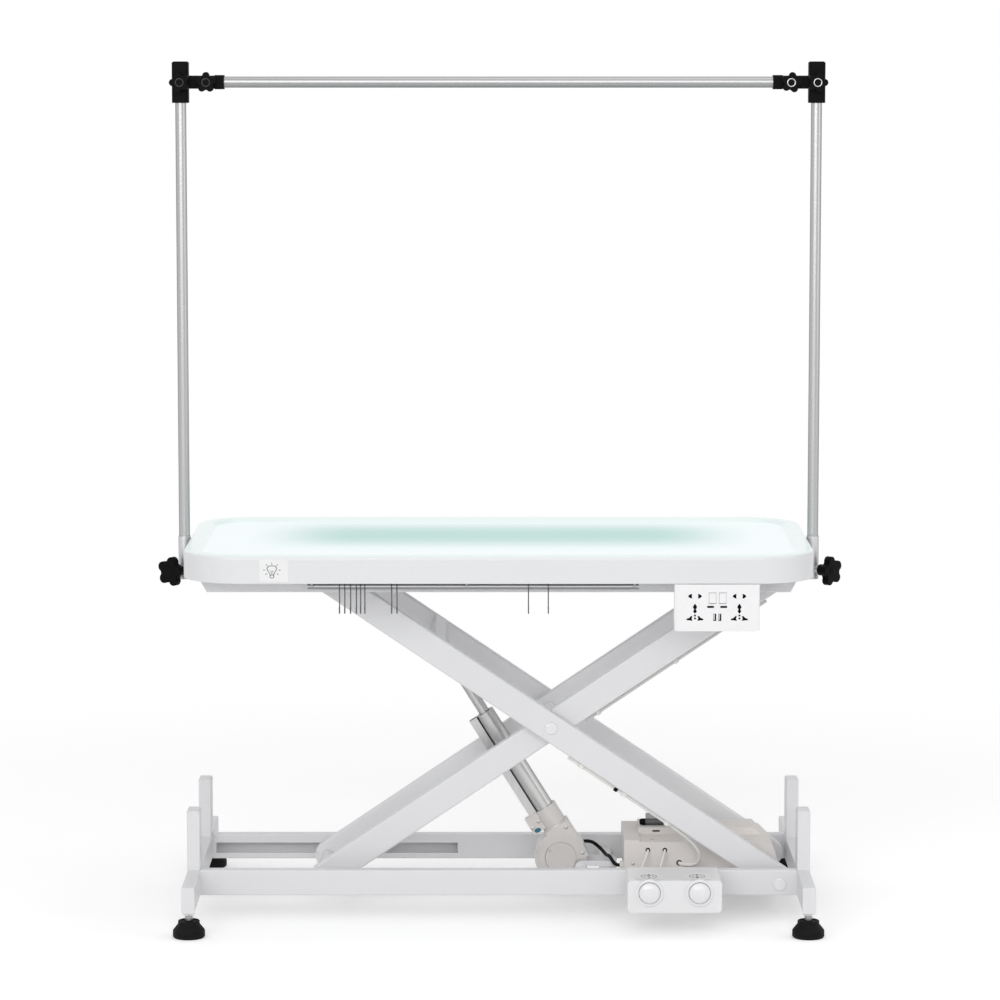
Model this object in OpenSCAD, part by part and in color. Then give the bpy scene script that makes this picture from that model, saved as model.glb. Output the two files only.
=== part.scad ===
// Height-adjustable grooming table with a scissor lift and a two-post gantry.
// Millimetres, +Z up, front towards -Y, origin on the floor under the middle.

/* [Base frame] */
// Length of the base over its two cross legs
base_l = 1198; // [1190:1:1204]
// Length of one cross leg, front to back
base_w = 700; // [690:2:712]
// Clear width between the two slotted rails
rail_gap = 325; // [325:1:335]
// Narrow side of the rail and leg tubes
tube_t = 25; // [24:1:26]
// Tall side of the rail and leg tubes
tube_h = 50; // [49:1:52]
// Wall of the steel tubes
wall = 2; // [1.6:0.1:2.4]
// Outer corner radius of the steel tubes
tube_r = 3; // [2.5:0.5:4]
// Underside of the rails above the floor
foot_h = 50; // [48:1:56]
// Height of the roller slot
slot_h = 21; // [20.8:0.1:21.6]
// Left end of the roller slot, from the middle
slot_x0 = 566; // [560:1:568]
// Right end of the roller slot, from the middle
slot_x1 = 82; // [70:1:84]
// Height of the four rest posts over the legs
rest_h = 115; // [100:1:118]
// Depth of a rest post, front to back
rest_w = 50; // [40:1:54]
// Thickness of the cap of a rest post
cap_t = 6; // [4:1:10]

/* [Feet] */
// Largest diameter of the rubber foot
foot_d = 61; // [56:1:64]
// Diameter of the foot's neck
neck_d = 41; // [36:1:44]
// Height of the foot's straight edge
foot_edge_h = 14.5; // [10:0.5:16]
// Height where the foot's cone meets its neck
neck_z = 26.5; // [24:0.5:28]
// Inner diameter of the foot's hollow top
cup_d = 32; // [28:1:34]
// Width over flats of the nut on the foot
foot_nut_w = 13; // [12:0.5:15]
// Height of the nut on the foot
foot_nut_h = 9; // [7:0.5:10]
// Height of the rubber foot
rubber_h = 33; // [30:1:34]
// Diameter of the threaded stud of a foot
stud_d = 10; // [8:1:12]
// Length of the stud over the rubber
stud_l = 40; // [30:1:44]
// Distance of a foot from the end of its leg
foot_in = 24; // [22:1:40]
// Width over flats of the lock nut
nut_w = 19; // [17:1:22]

/* [Scissor lift] */
// Angle of the arms as shown
lift_angle = 34; // [33.5:0.1:34.5]
// Pivot to pivot length of an arm
arm_l = 1060; // [1056:1:1062]
// Tall side of an arm
arm_h = 53; // [50:1:53]
// Narrow side of an arm
arm_t = 25; // [24:1:25]
// Clear width between the two inner arms
inner_gap = 180; // [178:1:180]
// Gap between an inner and an outer arm
arm_gap = 3; // [2.6:0.1:3.4]
// Corner radius of the arm tubes
arm_r = 4; // [3:0.5:5]
// Base pivot from the middle, towards the right
pivot_x = 541; // [538:1:541]
// Base pivot above the underside of the rails
pivot_up = 22; // [21:0.5:23]
// Pivot bolt diameter
bolt_d = 16; // [14:1:16]
// Radial play of a turning pin
play = 0.05; // [0.02:0.01:0.09]
// Gap between faces that pass each other
side_gap = 0.3; // [0.3:0.05:0.5]
// Diameter of the pivot caps
cap_d = 24; // [22:1:26]
// Height of the pivot caps
cap_h = 4; // [3:0.5:5]
// Diameter of the bearing sleeves inside the arms
sleeve_od = 24; // [22:1:26]
// Diameter of the spacers beside the arms
spacer_d = 26; // [24:1:28]
// Diameter of the round cross shafts
shaft_d = 25; // [22:1:25]
// Side of the square cross tube that the actuator lifts
lift_tube = 25; // [24:1:26]
// Position of that cross tube from the centre pivot, along the arm
lift_tube_x = 276; // [274:1:290]
// Drain hole in the arm tubes
drain_d = 6; // [5:0.5:8]

/* [Rollers] */
// Tread diameter of a roller
tread_d = 20.4; // [20:0.1:20.5]
// Flange diameter of a roller
flange_d = 28; // [26:1:32]
// Width of the tread
tread_w = 7; // [6:0.5:8]
// Width of the flange
flange_w = 5; // [4:0.5:7]
// Diameter of the stub axle
axle_d = 12; // [10:1:13]
// Diameter of the collars on the stub axle
collar_d = 18; // [16:1:19]

/* [Actuator] */
// Lower pivot from the middle
act_x = 163; // [160:1:164]
// Lower pivot above the floor
act_z = 71; // [71:1:74]
// Upper pivot from the centre pivot, along the outer arm
eye_x = 246; // [240:1:248]
// Upper pivot under the arm's middle line
eye_z = 6; // [4:1:10]
// Diameter of the outer tube
act_tube_d = 37; // [34:1:38]
// Length of the outer tube's end from the lower pivot
act_tube_l = 360; // [350:1:362]
// Rod diameter
rod_d = 21; // [18:1:22]
// Length of rod that stays in the tube as shown
rod_in = 125; // [110:1:128]
// Outer radius of the rod eye
eye_r = 14; // [12:0.5:14.5]
// Width of the rod eye
eye_w = 26; // [20:1:28]
// Pin diameter of the upper pivot
pin_d = 10; // [8:1:12]
// Pin diameter of the lower pivot
low_pin_d = 12; // [10:1:14]
// Section of the guide profile, across
profile_w = 16; // [12:1:17]
// Section of the guide profile, front to back
profile_t = 18; // [14:1:22]
// Collar diameter
motor_collar_d = 46; // [44:1:48]
// Upper end of the collar, from the lower pivot
motor_collar_end = 138; // [130:1:144]
// Upper end of the gear housing, from the lower pivot
gear_end = 96; // [92:1:100]
// Half width of the gear housing
gear_half = 25; // [24:0.5:26]
// Radius of the round gear case
gear_r = 51; // [48:0.5:52]
// Gear case centre, along the actuator
gear_u = 39; // [37:1:41]
// Gear case centre, across the actuator
gear_off = 24; // [22:1:25]
// Thickness of the gear housing
gear_t = 54; // [50:1:58]
// Motor diameter
motor_d = 64; // [56:1:70]
// Length of the motor behind the gear housing
motor_l = 52; // [40:1:56]
// Thickness of the bracket ears
ear_t = 6; // [4:0.5:8]

/* [Under-frame and tabletop] */
// Top pivot above the underside of the under-frame
top_pivot_up = 25; // [24:0.5:26]
// Underside of the under-frame, in from the end of the tabletop
under_in_low = 43; // [42:1:44]
// Top of the under-frame, in from the end of the tabletop
under_in_top = 16; // [12:1:16]
// Length of the tabletop
table_l = 1200; // [1196:1:1204]
// Width of the tabletop
table_w = 600; // [596:1:604]
// Corner radius of the tabletop
table_r = 110; // [100:1:120]
// Height of the tabletop's edge band
band_h = 52.5; // [50:0.5:54]
// Wall of the edge band
band_t = 3; // [2.5:0.1:3.5]
// Radius of the upper outer edge
edge_r = 7; // [5:0.5:9]
// Width of the flat rim
rim_w = 26; // [22:1:30]
// Width of the rim's inner slope
slope_w = 8; // [6:1:10]
// Depth of the recess
recess = 7; // [5:0.5:8]
// Thickness of the deck
deck_t = 4; // [3:0.5:5]
// Gap under the deck, over the under-frame
deck_gap = 10; // [9:0.5:11]

/* [Posts and crossbar] */
// Diameter of the posts and the crossbar
post_d = 21; // [20:0.5:21]
// Length of a post
post_l = 998; // [900:1:1040]
// Wall of the posts and the crossbar
post_wall = 2; // [1.5:0.1:2.5]
// Outer diameter of a post sleeve
sleeve_d = 24; // [24:0.5:26]
// Length of a post sleeve
sleeve_l = 84; // [78:1:86]
// Floor thickness of a post sleeve
sleeve_floor = 3; // [2:0.5:4]
// Running play of the posts and the crossbar clamps
slide_play = 0.08; // [0.05:0.01:0.1]
// Width of a corner clamp
clamp_w = 32; // [30:1:34]
// Height of a corner clamp
clamp_h = 79; // [70:1:84]
// Height of a clamp's arm
clamp_arm_h = 27; // [25:1:30]
// Reach of a clamp's arm, from the post's axis
clamp_reach = 84.3; // [80:0.5:90]
// Length of the box at the end of the arm
clamp_box_l = 18; // [14:1:24]
// Crossbar axis under the top of the clamps
bar_down = 39.5; // [36:0.5:42]
// Outer diameter of a clamp knob
knob_d = 40; // [36:1:44]
// Thickness of a clamp knob
knob_t = 15; // [12:1:18]
// Inner knob of a clamp, from the post's axis
knob_in = 50.8; // [48:0.2:54]
// Screw diameter of the clamp knobs
knob_screw = 8; // [6:1:8]
// Outer diameter of a height knob
big_knob_d = 58; // [52:1:62]
// Thickness of a height knob
big_knob_t = 13; // [11:1:16]
// Height knob centre from the post's axis
big_knob_out = 45; // [42:1:48]
// Direction of the left height knob, out from the front
left_knob_turn = 32; // [30:1:55]
// Direction of the right height knob, out from the front
right_knob_turn = 48; // [30:1:55]
// Height knob axis above the sleeve's underside
big_knob_up = 19; // [17:1:24]

/* [Hooks and outlets] */
// Diameter of the hook rail
rail_d = 10; // [9:0.5:11]
// Hook rail from the front face, inwards
rail_in = 12; // [11:0.5:14]
// Length of the hook rail left of the middle
rail_left = 360; // [340:1:380]
// Length of the hook rail right of the middle
rail_right = 264; // [250:1:280]
// Hook rail axis under the edge band
rail_down = 7; // [6:0.5:9]
// Wire diameter of a hook
wire_d = 2.2; // [1.8:0.1:2.6]
// Length of a hook under the rail's axis
hook_l = 50; // [44:1:54]
// Bend radius of a hook
hook_r = 6; // [5:0.5:8]
// Left edge of the outlet plate
plate_x0 = 334.5; // [330:0.5:338]
// Width of the outlet plate
plate_w = 155.5; // [150:0.5:160]
// Height of the outlet plate
plate_h = 89; // [86:0.5:92]
// Thickness of the outlet plate
plate_t = 4; // [3:0.5:6]
// Outlet box beyond the plate's left edge
outlet_lip = 3; // [2:0.5:5]
// Depth of the outlet box
outlet_d = 40; // [34:1:46]
// Width of a rocker
rocker_w = 12.6; // [11:0.2:14]
// Half height of a rocker
rocker_r = 10.3; // [9:0.1:11]
// Middle of the two rockers from the left edge of the plate
rocker_x = 77.7; // [76:0.1:79]
// Distance between the two rockers
rocker_step = 19; // [18:0.5:20]
// Rocker axis under the top of the plate
rocker_down = 26; // [24:0.5:28]

/* [Control box and foot switch] */
// Left side of the control box
box_x0 = 244; // [242:1:246]
// Right side of the control box
box_x1 = 540; // [530:1:541]
// Top of the end cap of the control box
box_top = 137; // [135:1:140]
// Drop from the end cap to the lid
lid_drop = 4; // [2:0.5:6]
// Width of the end cap
cap_w = 32; // [28:1:36]
// Front face of the control box, from the middle
box_front = 80; // [76:1:82]
// Rear face of the control box, from the middle
box_back = 112; // [100:1:114]
// Right end's bevel
box_bevel = 24; // [20:1:26]
// Height of the raised lid over the flat one
raised_h = 14; // [10:1:14.5]
// Front of the raised lid, from the middle
raised_front = 5; // [0:1:20]
// Rear of the raised lid, from the middle
raised_back = 84; // [80:1:86]
// Wall of the control box
box_wall = 3; // [2.5:0.1:4]
// Cable hole diameter
gland_d = 7.6; // [7.5:0.1:9]
// Diameter of the mains cord inlet in the rear wall
inlet_d = 20; // [18:0.5:22]
// Mains cord inlet, from the middle
inlet_x = 330; // [300:1:420]
// Mains cord inlet above the floor
inlet_z = 115; // [100:1:122]
// Left side of the foot switch
sw_x0 = 244; // [240:1:248]
// Width of the foot switch
sw_w = 178; // [170:1:184]
// Underside of the foot switch
sw_z0 = 50; // [46:1:54]
// Height of the foot switch
sw_h = 62; // [58:1:66]
// Front face of the foot switch, from the middle
sw_front = 340; // [330:1:345]
// Depth of the foot switch
sw_d = 122; // [110:1:130]
// Wall of the foot switch
sw_wall = 3; // [2.5:0.1:4]
// Distance between the foot buttons
btn_step = 94.5; // [90:0.5:98]
// Dome diameter of a foot button
btn_d = 40; // [36:1:42]
// Gap round a foot button
btn_gap = 1; // [0.6:0.1:1.2]
// Collar diameter round a foot button
btn_ring_d = 48; // [47:1:52]
// Travel of a foot button
btn_travel = 4; // [3:0.5:5]

/* [Cables] */
// Diameter of the white lift cable
cable_d = 7; // [6:0.5:8]
// Diameter of the foot switch cables
thin_cable_d = 5; // [4.5:0.5:6]

/* [Hidden] */
$fn = 64;

// Heights and pivots of the lift
pivot_z = foot_h + pivot_up;
half_arm = arm_l / 2;
mid_x = pivot_x - half_arm * cos(lift_angle);
mid_z = pivot_z + half_arm * sin(lift_angle);
roller_x = pivot_x - arm_l * cos(lift_angle);
top_z = pivot_z + arm_l * sin(lift_angle);
leg_in = base_l / 2 - tube_t;
rail_y = rail_gap / 2;
inner_y0 = inner_gap / 2;
inner_y1 = inner_y0 + arm_t;
outer_y0 = inner_y1 + arm_gap;
outer_y1 = outer_y0 + arm_t;
foot_y = base_w / 2 - foot_in;
foot_x = base_l / 2 - tube_t / 2;
under_z = top_z - top_pivot_up;
under_x0 = table_l / 2 - under_in_low;
under_x1 = table_l / 2 - under_in_top;
rail_top = under_z + tube_h;
deck_z = rail_top + deck_gap;
panel_t = 14;
table_z = deck_z + deck_t + panel_t + recess;
band_z = table_z - band_h;
panel_in = rim_w + slope_w + 1;

// Rollers and stub axles
tread_y = rail_y - 1.5;
retain_w = 2.5;

// Actuator frame
arm_n = [sin(lift_angle), cos(lift_angle)];
eye_px = mid_x - eye_x * cos(lift_angle) - eye_z * sin(lift_angle);
eye_pz = mid_z + eye_x * sin(lift_angle) - eye_z * cos(lift_angle);
act_dx = act_x - eye_px;
act_dz = eye_pz - act_z;
act_l = sqrt(act_dx * act_dx + act_dz * act_dz);
act_turn = atan2(act_dx, act_dz);
lug_w = 46;
ear_gap = 0.5;
low_ear_y = lug_w / 2 + ear_gap;
up_ear_y = eye_w / 2 + 1;
base_tube_x = 212;
strap_x = 438;
strap_t = 4;
ear_low_r = 14;

// Posts, sleeves and clamps
post_x = table_l / 2 + side_gap + sleeve_d / 2;
clamp_end = post_x - clamp_reach;
knob_x = post_x - knob_in;
sleeve_z = table_z - sleeve_l - 0.5;
post_z = sleeve_z + sleeve_floor;
clamp_z = post_z + post_l - clamp_h + 3;
bar_z = clamp_z + clamp_h - bar_down;
bar_half = post_x - post_d / 2 - 6;
knob_z = sleeve_z + big_knob_up;
flange_t = 3;

// Hooks
hook_y = -table_w / 2 + rail_in;
hook_z = band_z - rail_down;
hook_at = [-299.8, -289.8, -278.9, -268, -260, -252, -201.5, -191.5, 56.3, 93.7];

// Outlets
plate_z1 = band_z - 1;
plate_y = -table_w / 2 - 1;
rocker_z = plate_z1 - rocker_down;
rocker_y = plate_y + 2;

// Small slot in the raised lid's front
slot_x = 309.5;
slot_w = 14.5;

// Cord gland in the control box's left side
gland_y = -46;
gland_z = 80;

// Foot switch
btn_x = sw_x0 + sw_w / 2 - 0.5;
btn_z = sw_z0 + sw_h - 23.5;

// Route of the white loop between the clip on the outer arm and the box
loop_end = [352, -77, 92];
loop_route = [
  [334.4, -130.5, 175.1], [345, -129.5, 167.2], [360, -127, 155], [376, -122, 139.5],
  [388, -116, 122], [390.5, -110, 109], [386, -101, 97], [375, -92.5, 91],
  [363, -86, 90], [354, -82, 91], loop_end
];
left_lead = [[291, -77, 117], [290, -86, 114], [284, -96, 100], [275, -106, 80], [268, -118, 64],
  [265, -133, 54], [264, -152, 47.2], [264, -176, 47.2],
  [266.4, -192, 47.2], [269, -199.5, 49.2], [270, -203, 53.4], [270, -203.3, 57.7]];
right_lead = [[324, -77, 117], [323, -86, 114], [318, -96, 98], [311, -106, 79], [305, -118, 63],
  [302, -133, 54], [301, -152, 47.2], [301, -176, 47.2],
  [303.4, -192, 47.2], [305.4, -199.5, 49.2], [306, -203, 53.4], [306, -203.3, 57.7]];
motor_lead = [[152.6, 50, 102.6], [166, 50, 108], [184, 46, 108], [200, 32, 99], [211, 8, 91],
  [218, -18, 92], [224, -38, 86], [231, -45, 81], [243, -46, 80]];

// Helpers

// Rounded rectangle about its centre
module rrect(w, h, r) {
  square([w - 2 * r, h], center = true);
  square([w, h - 2 * r], center = true);
  for (sx = [-1, 1]) {
    for (sy = [-1, 1]) {
      translate([sx * (w / 2 - r), sy * (h / 2 - r)]) circle(r = r);
    }
  }
}

// Bar along X, section seen from its end
module along_x(l, w, h, r) {
  rotate([90, 0, 90]) linear_extrude(height = l, center = true) rrect(w, h, r);
}

// Bar along Y, section seen from its end
module along_y(l, w, h, r) {
  rotate([90, 0, 0]) linear_extrude(height = l, center = true) rrect(w, h, r);
}

// Upright bar on its lower end
module along_z(l, w, h, r) {
  linear_extrude(height = l) rrect(w, h, r);
}

// Round bar along Y between two depths
module round_y(y0, y1, d) {
  translate([0, y1, 0]) rotate([90, 0, 0]) cylinder(h = y1 - y0, d = d);
}

// Round bar along X between two positions
module round_x(x0, x1, d) {
  translate([x0, 0, 0]) rotate([0, 90, 0]) cylinder(h = x1 - x0, d = d);
}

// Place at the front or the rear
module side_of(front) {
  if (front) {
    children();
  } else {
    mirror([0, 1, 0]) children();
  }
}

// Low dome cap on a flat round rim, along -Y from a depth
module pivot_cap(y, d, h) {
  translate([0, y, 0]) rotate([90, 0, 0]) rotate_extrude() {
    polygon([[0, 0], [d / 2, 0], [d / 2, h * 0.55], [d / 2 - 1, h * 0.85], [d / 2 - 2.5, h], [0, h]]);
  }
}

// Star knob with five lobes on a hub, along +Z from its underside
module star_head(d, t, first) {
  lobe = d * 0.17;
  edge = 1.2;
  module outline(less) {
    circle(r = d * 0.36 - less);
    for (i = [0 : 4]) {
      rotate(i * 72 + first) translate([d / 2 - lobe, 0]) circle(r = lobe - less);
    }
  }
  linear_extrude(height = t - edge) outline(0);
  linear_extrude(height = t) outline(edge);
}

// Round cable through a list of points
module cable(points, d, sides) {
  n = len(points);
  rings = [for (i = [0 : n - 1]) ring_at(points, i, d, sides)];
  verts = [for (ring = rings) for (v = ring) v];
  upper_faces = [for (i = [0 : n - 2]) for (j = [0 : sides - 1])
    [i * sides + j, (i + 1) * sides + j, (i + 1) * sides + (j + 1) % sides]];
  lower_faces = [for (i = [0 : n - 2]) for (j = [0 : sides - 1])
    [i * sides + j, (i + 1) * sides + (j + 1) % sides, i * sides + (j + 1) % sides]];
  start_face = [for (j = [0 : sides - 1]) j];
  end_face = [for (j = [0 : sides - 1]) (n - 1) * sides + sides - 1 - j];
  polyhedron(points = verts, faces = concat(upper_faces, lower_faces, [start_face], [end_face]), convexity = 6);
}

function unit(v) = v / norm(v);
function tangent_at(p, i) = unit(p[min(i + 1, len(p) - 1)] - p[max(i - 1, 0)]);
function side_at(t) = unit(cross(t, [0.13, 0.97, 0.21]));
function ring_at(p, i, d, sides) =
  let (t = tangent_at(p, i), u = side_at(t), v = cross(t, u))
  [for (j = [0 : sides - 1]) p[i] + d / 2 * (cos(j * 360 / sides) * u + sin(j * 360 / sides) * v)];

// Points between the given ones on a smooth curve
function spline_point(a, b, c, d, t) =
  0.5 * ((2 * b) + (c - a) * t + (2 * a - 5 * b + 4 * c - d) * t * t + (3 * b - a - 3 * c + d) * t * t * t);
function smooth_route(p, k) = concat([for (i = [0 : len(p) - 2]) for (s = [0 : k - 1])
  spline_point(p[max(i - 1, 0)], p[i], p[i + 1], p[min(i + 2, len(p) - 1)], s / k)], [p[len(p) - 1]]);

// Base

module rail_body(x0b, x1b, x0t, x1t) {
  rotate([90, 0, 0]) linear_extrude(height = tube_t, center = true)
    polygon([[x0b, 0], [x1b, 0], [x1t, tube_h], [x0t, tube_h]]);
}

// Front base rail, with the roller slot in its inner wall
module base_rail() {
  difference() {
    translate([0, -rail_y - tube_t / 2, foot_h + tube_h / 2]) along_x(2 * leg_in, tube_t, tube_h, tube_r);
    translate([0, -rail_y - tube_t / 2, foot_h + tube_h / 2])
      along_x(2 * leg_in + 2, tube_t - 2 * wall, tube_h - 2 * wall, tube_r - wall / 2);
    translate([-slot_x0, -rail_y - wall - 1, pivot_z - slot_h / 2]) cube([slot_x0 - slot_x1, wall + 2, slot_h]);
    translate([pivot_x, 0, pivot_z]) round_y(-rail_y - tube_t - 1, -rail_y + 1, bolt_d + 2 * play);
  }
}

module base_rail_front() {
  color("gainsboro") base_rail();
}

module base_rail_rear() {
  color("gainsboro") mirror([0, 1, 0]) base_rail();
}

// One cross leg with its two rest posts and their caps
module leg_set() {
  leg_mid = foot_h + tube_h / 2;
  difference() {
    translate([foot_x, 0, leg_mid]) along_y(base_w, tube_t, tube_h, tube_r);
    translate([foot_x, 0, leg_mid]) along_y(base_w - 2 * wall, tube_t - 2 * wall, tube_h - 2 * wall, tube_r - wall / 2);
    for (sy = [-1, 1]) {
      translate([foot_x, sy * foot_y, foot_h - 1]) cylinder(h = wall + 2, d = stud_d + 2 * play);
    }
  }
  for (sy = [-1, 1]) {
    translate([foot_x, sy * (rail_y + tube_t - rest_w / 2), foot_h + tube_h]) {
      difference() {
        along_z(rest_h - cap_t, tube_t, rest_w, tube_r);
        translate([0, 0, -1]) along_z(rest_h - cap_t + 2, tube_t - 2 * wall, rest_w - 2 * wall, tube_r - wall / 2);
      }
      translate([0, 0, rest_h - cap_t]) along_z(cap_t - 2, tube_t, rest_w, tube_r);
      translate([0, 0, rest_h - 2]) along_z(2, tube_t - 3, rest_w - 3, tube_r - 1);
    }
  }
}

module base_legs() {
  color("whitesmoke") {
    leg_set();
    mirror([1, 0, 0]) leg_set();
  }
}

// Lower actuator ears on their cross tube, and the strap with the tube under the control box
module base_cross_tubes() {
  tube_mid = foot_h + tube_t / 2;
  color("gainsboro") {
    difference() {
      union() {
        translate([base_tube_x, 0, tube_mid]) along_y(2 * rail_y, tube_t, tube_t, tube_r);
        for (sy = [-1, 1]) {
          translate([0, sy * (low_ear_y + ear_t / 2), 0]) rotate([90, 0, 0])
            linear_extrude(height = ear_t, center = true) low_ear_shape();
        }
        translate([act_x, 0, act_z]) round_y(-low_ear_y - 1, low_ear_y + 1, low_pin_d);
      }
      translate([base_tube_x, 0, tube_mid]) along_y(2 * rail_y + 2, tube_t - 2 * wall, tube_t - 2 * wall, tube_r - wall / 2);
    }
    translate([strap_x - tube_t, -rail_y, foot_h]) cube([2 * tube_t, 2 * rail_y, strap_t]);
    difference() {
      translate([strap_x, 0, tube_mid]) along_y(2 * (outer_y0 - 4), 2 * tube_t, tube_t, tube_r);
      translate([strap_x, 0, tube_mid])
        along_y(2 * outer_y0, 2 * (tube_t - wall), tube_t - 2 * wall, tube_r - wall / 2);
    }
    for (sy = [-1, 1]) {
      side_of(sy < 0) translate([act_x, 0, act_z]) pivot_cap(-low_ear_y - ear_t, 20, 4);
    }
  }
}

module low_ear_shape() {
  difference() {
    union() {
      translate([act_x, act_z]) circle(r = ear_low_r);
      translate([act_x, foot_h + tube_t - 6]) square([62, act_z + ear_low_r - foot_h - tube_t + 6]);
      translate([act_x + 60, foot_h + tube_t]) square([10, act_z + ear_low_r - foot_h - tube_t - 8]);
      translate([act_x + 62, act_z + ear_low_r - 8]) circle(r = 8);
    }
    translate([act_x + 10, foot_h + tube_t - 12]) square([base_tube_x - tube_t / 2 - act_x - 10, 12]);
  }
}

// Base pivot bolts with caps and spacers, and the lock nuts of the feet
module base_bolts() {
  color("silver") {
    for (f = [true, false]) {
      side_of(f) translate([pivot_x, 0, pivot_z]) {
        union() {
          round_y(-rail_y - tube_t, -outer_y0 - 1, bolt_d);
          pivot_cap(-rail_y - tube_t, cap_d + 1, cap_h);
        }
        difference() {
          round_y(-rail_y, -outer_y1 - side_gap, spacer_d);
          round_y(-rail_y - 1, -outer_y1 + 1, bolt_d + 2 * play);
        }
      }
    }
    for (sx = [-1, 1]) {
      for (sy = [-1, 1]) {
        translate([sx * foot_x, sy * foot_y, foot_h - 7]) difference() {
          cylinder(h = 7, d = nut_w * 1.1547, $fn = 6);
          translate([0, 0, -1]) cylinder(h = 9, d = stud_d + 2 * play);
        }
      }
    }
  }
}

// Stepped rubber foot on a threaded stud
module foot() {
  color([0.1, 0.1, 0.1]) difference() {
    union() {
      rotate_extrude() polygon([
        [0, 0], [foot_d / 2 - 2.5, 0], [foot_d / 2, 3], [foot_d / 2, foot_edge_h - 1],
        [foot_d / 2 - 1, foot_edge_h + 1], [neck_d / 2 + 1, neck_z - 1], [neck_d / 2, neck_z + 1],
        [neck_d / 2, rubber_h - 1], [neck_d / 2 - 1, rubber_h], [cup_d / 2, rubber_h],
        [cup_d / 2, rubber_h - 1.5], [stud_d / 2, rubber_h - 1.5],
        [stud_d / 2, rubber_h + stud_l], [0, rubber_h + stud_l]
      ]);
      translate([0, 0, rubber_h - 2]) cylinder(h = foot_nut_h + 2, d = foot_nut_w * 1.1547, $fn = 6);
    }
    translate([0, 0, -1]) cylinder(h = 3, d = foot_d * 0.6);
  }
}

module foot_front_left() {
  translate([-foot_x, -foot_y, 0]) foot();
}

module foot_front_right() {
  translate([foot_x, -foot_y, 0]) foot();
}

module foot_rear_left() {
  translate([-foot_x, foot_y, 0]) foot();
}

module foot_rear_right() {
  translate([foot_x, foot_y, 0]) foot();
}

// Control box with its end cap, flat lid, raised lid, cord gland and tube on top
module control_box() {
  box_z = foot_h + tube_t;
  lid_z = box_top - lid_drop;
  step_x = pivot_x - shaft_d / 2 - 4;
  step_z = pivot_z + shaft_d / 2 + 4;
  color([0.87, 0.85, 0.82]) {
    difference() {
      union() {
        translate([box_x0 + cap_w / 2, (box_back - box_front) / 2, box_z])
          along_z(box_top - box_z, cap_w, box_front + box_back, 4);
        rotate([90, 0, 0]) translate([0, 0, -box_back]) linear_extrude(height = box_front + box_back) polygon([
          [box_x0 + 6, box_z], [step_x, box_z], [step_x, step_z], [box_x1, step_z],
          [box_x1, lid_z - box_bevel], [box_x1 - box_bevel, lid_z], [box_x0 + 6, lid_z]
        ]);
        rotate([90, 0, 0]) translate([0, 0, -raised_back]) linear_extrude(height = raised_back + raised_front) polygon([
          [box_x0 + cap_w - 1, lid_z - 1], [box_x1 - box_bevel, lid_z - 1],
          [box_x1 - box_bevel - raised_h, lid_z + raised_h], [box_x0 + cap_w - 1, lid_z + raised_h]
        ]);
        translate([box_x0 - 7, gland_y, gland_z]) round_x(0, 8, 18);
      }
      rotate([90, 0, 0]) translate([0, 0, -box_back + box_wall])
        linear_extrude(height = box_front + box_back - 2 * box_wall) polygon([
          [box_x0 + box_wall, box_z + box_wall], [step_x - box_wall, box_z + box_wall],
          [step_x - box_wall, step_z + box_wall], [box_x1 - box_wall, step_z + box_wall],
          [box_x1 - box_wall, lid_z - box_bevel - 1], [box_x1 - box_bevel - 2, lid_z - box_wall],
          [box_x0 + box_wall, lid_z - box_wall]
        ]);
      for (lead = [left_lead, right_lead]) {
        translate([lead[0][0], 0, lead[0][2]]) round_y(-box_front - 1, -box_front + box_wall + 1, thin_cable_d + 2 * side_gap);
      }
      translate([loop_end[0], 0, loop_end[2]]) round_y(-box_front - 1, -box_front + box_wall + 1, gland_d);
      translate([box_x0 - 8, gland_y, gland_z]) round_x(0, 20, gland_d);
      translate([inlet_x, 0, inlet_z]) round_y(box_back - box_wall - 1, box_back + 1, inlet_d);
      translate([slot_x - slot_w / 2, -raised_front - 1, lid_z + raised_h / 2 - 1.6]) cube([slot_w, 2.5, 3.2]);
    }
  }
  color([0.75, 0.75, 0.75]) {
    translate([291, 62, lid_z + raised_h + 7]) round_x(0, 64, 18);
    difference() {
      translate([297, 50, lid_z + raised_h - 1]) cube([52, 24, 8]);
      translate([284, 62, lid_z + raised_h + 7]) round_x(-1, 72, 18);
    }
  }
}

// Foot switch box with two collars, on a bracket before the front rail
module foot_switch_box() {
  color("whitesmoke") difference() {
    union() {
      translate([sw_x0 + sw_w / 2, -sw_front + sw_d / 2, sw_z0 + sw_h / 2]) along_y(sw_d, sw_w, sw_h, 8);
      translate([sw_x0 + sw_w / 2 - 70, -sw_front + sw_d - 1, sw_z0 + 8]) cube([140, sw_front - sw_d - rail_y - tube_t + 1, 36]);
      for (s = [-1, 1]) {
        translate([btn_x + s * btn_step / 2, 0, btn_z]) round_y(-sw_front - 4, -sw_front + 1, btn_ring_d);
      }
    }
    translate([sw_x0 + sw_w / 2, -sw_front + sw_d / 2, sw_z0 + sw_h / 2])
      along_y(sw_d - 2 * sw_wall, sw_w - 2 * sw_wall, sw_h - 2 * sw_wall, 6);
    for (s = [-1, 1]) {
      translate([btn_x + s * btn_step / 2, 0, btn_z]) round_y(-sw_front - 5, -sw_front + sw_wall + 1, btn_d + 2 * btn_gap);
    }
    translate([sw_x0 + sw_w / 2, -rail_y - tube_t - 40, sw_z0 + 26]) round_y(-5, 60, 14);
  }
}

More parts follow.
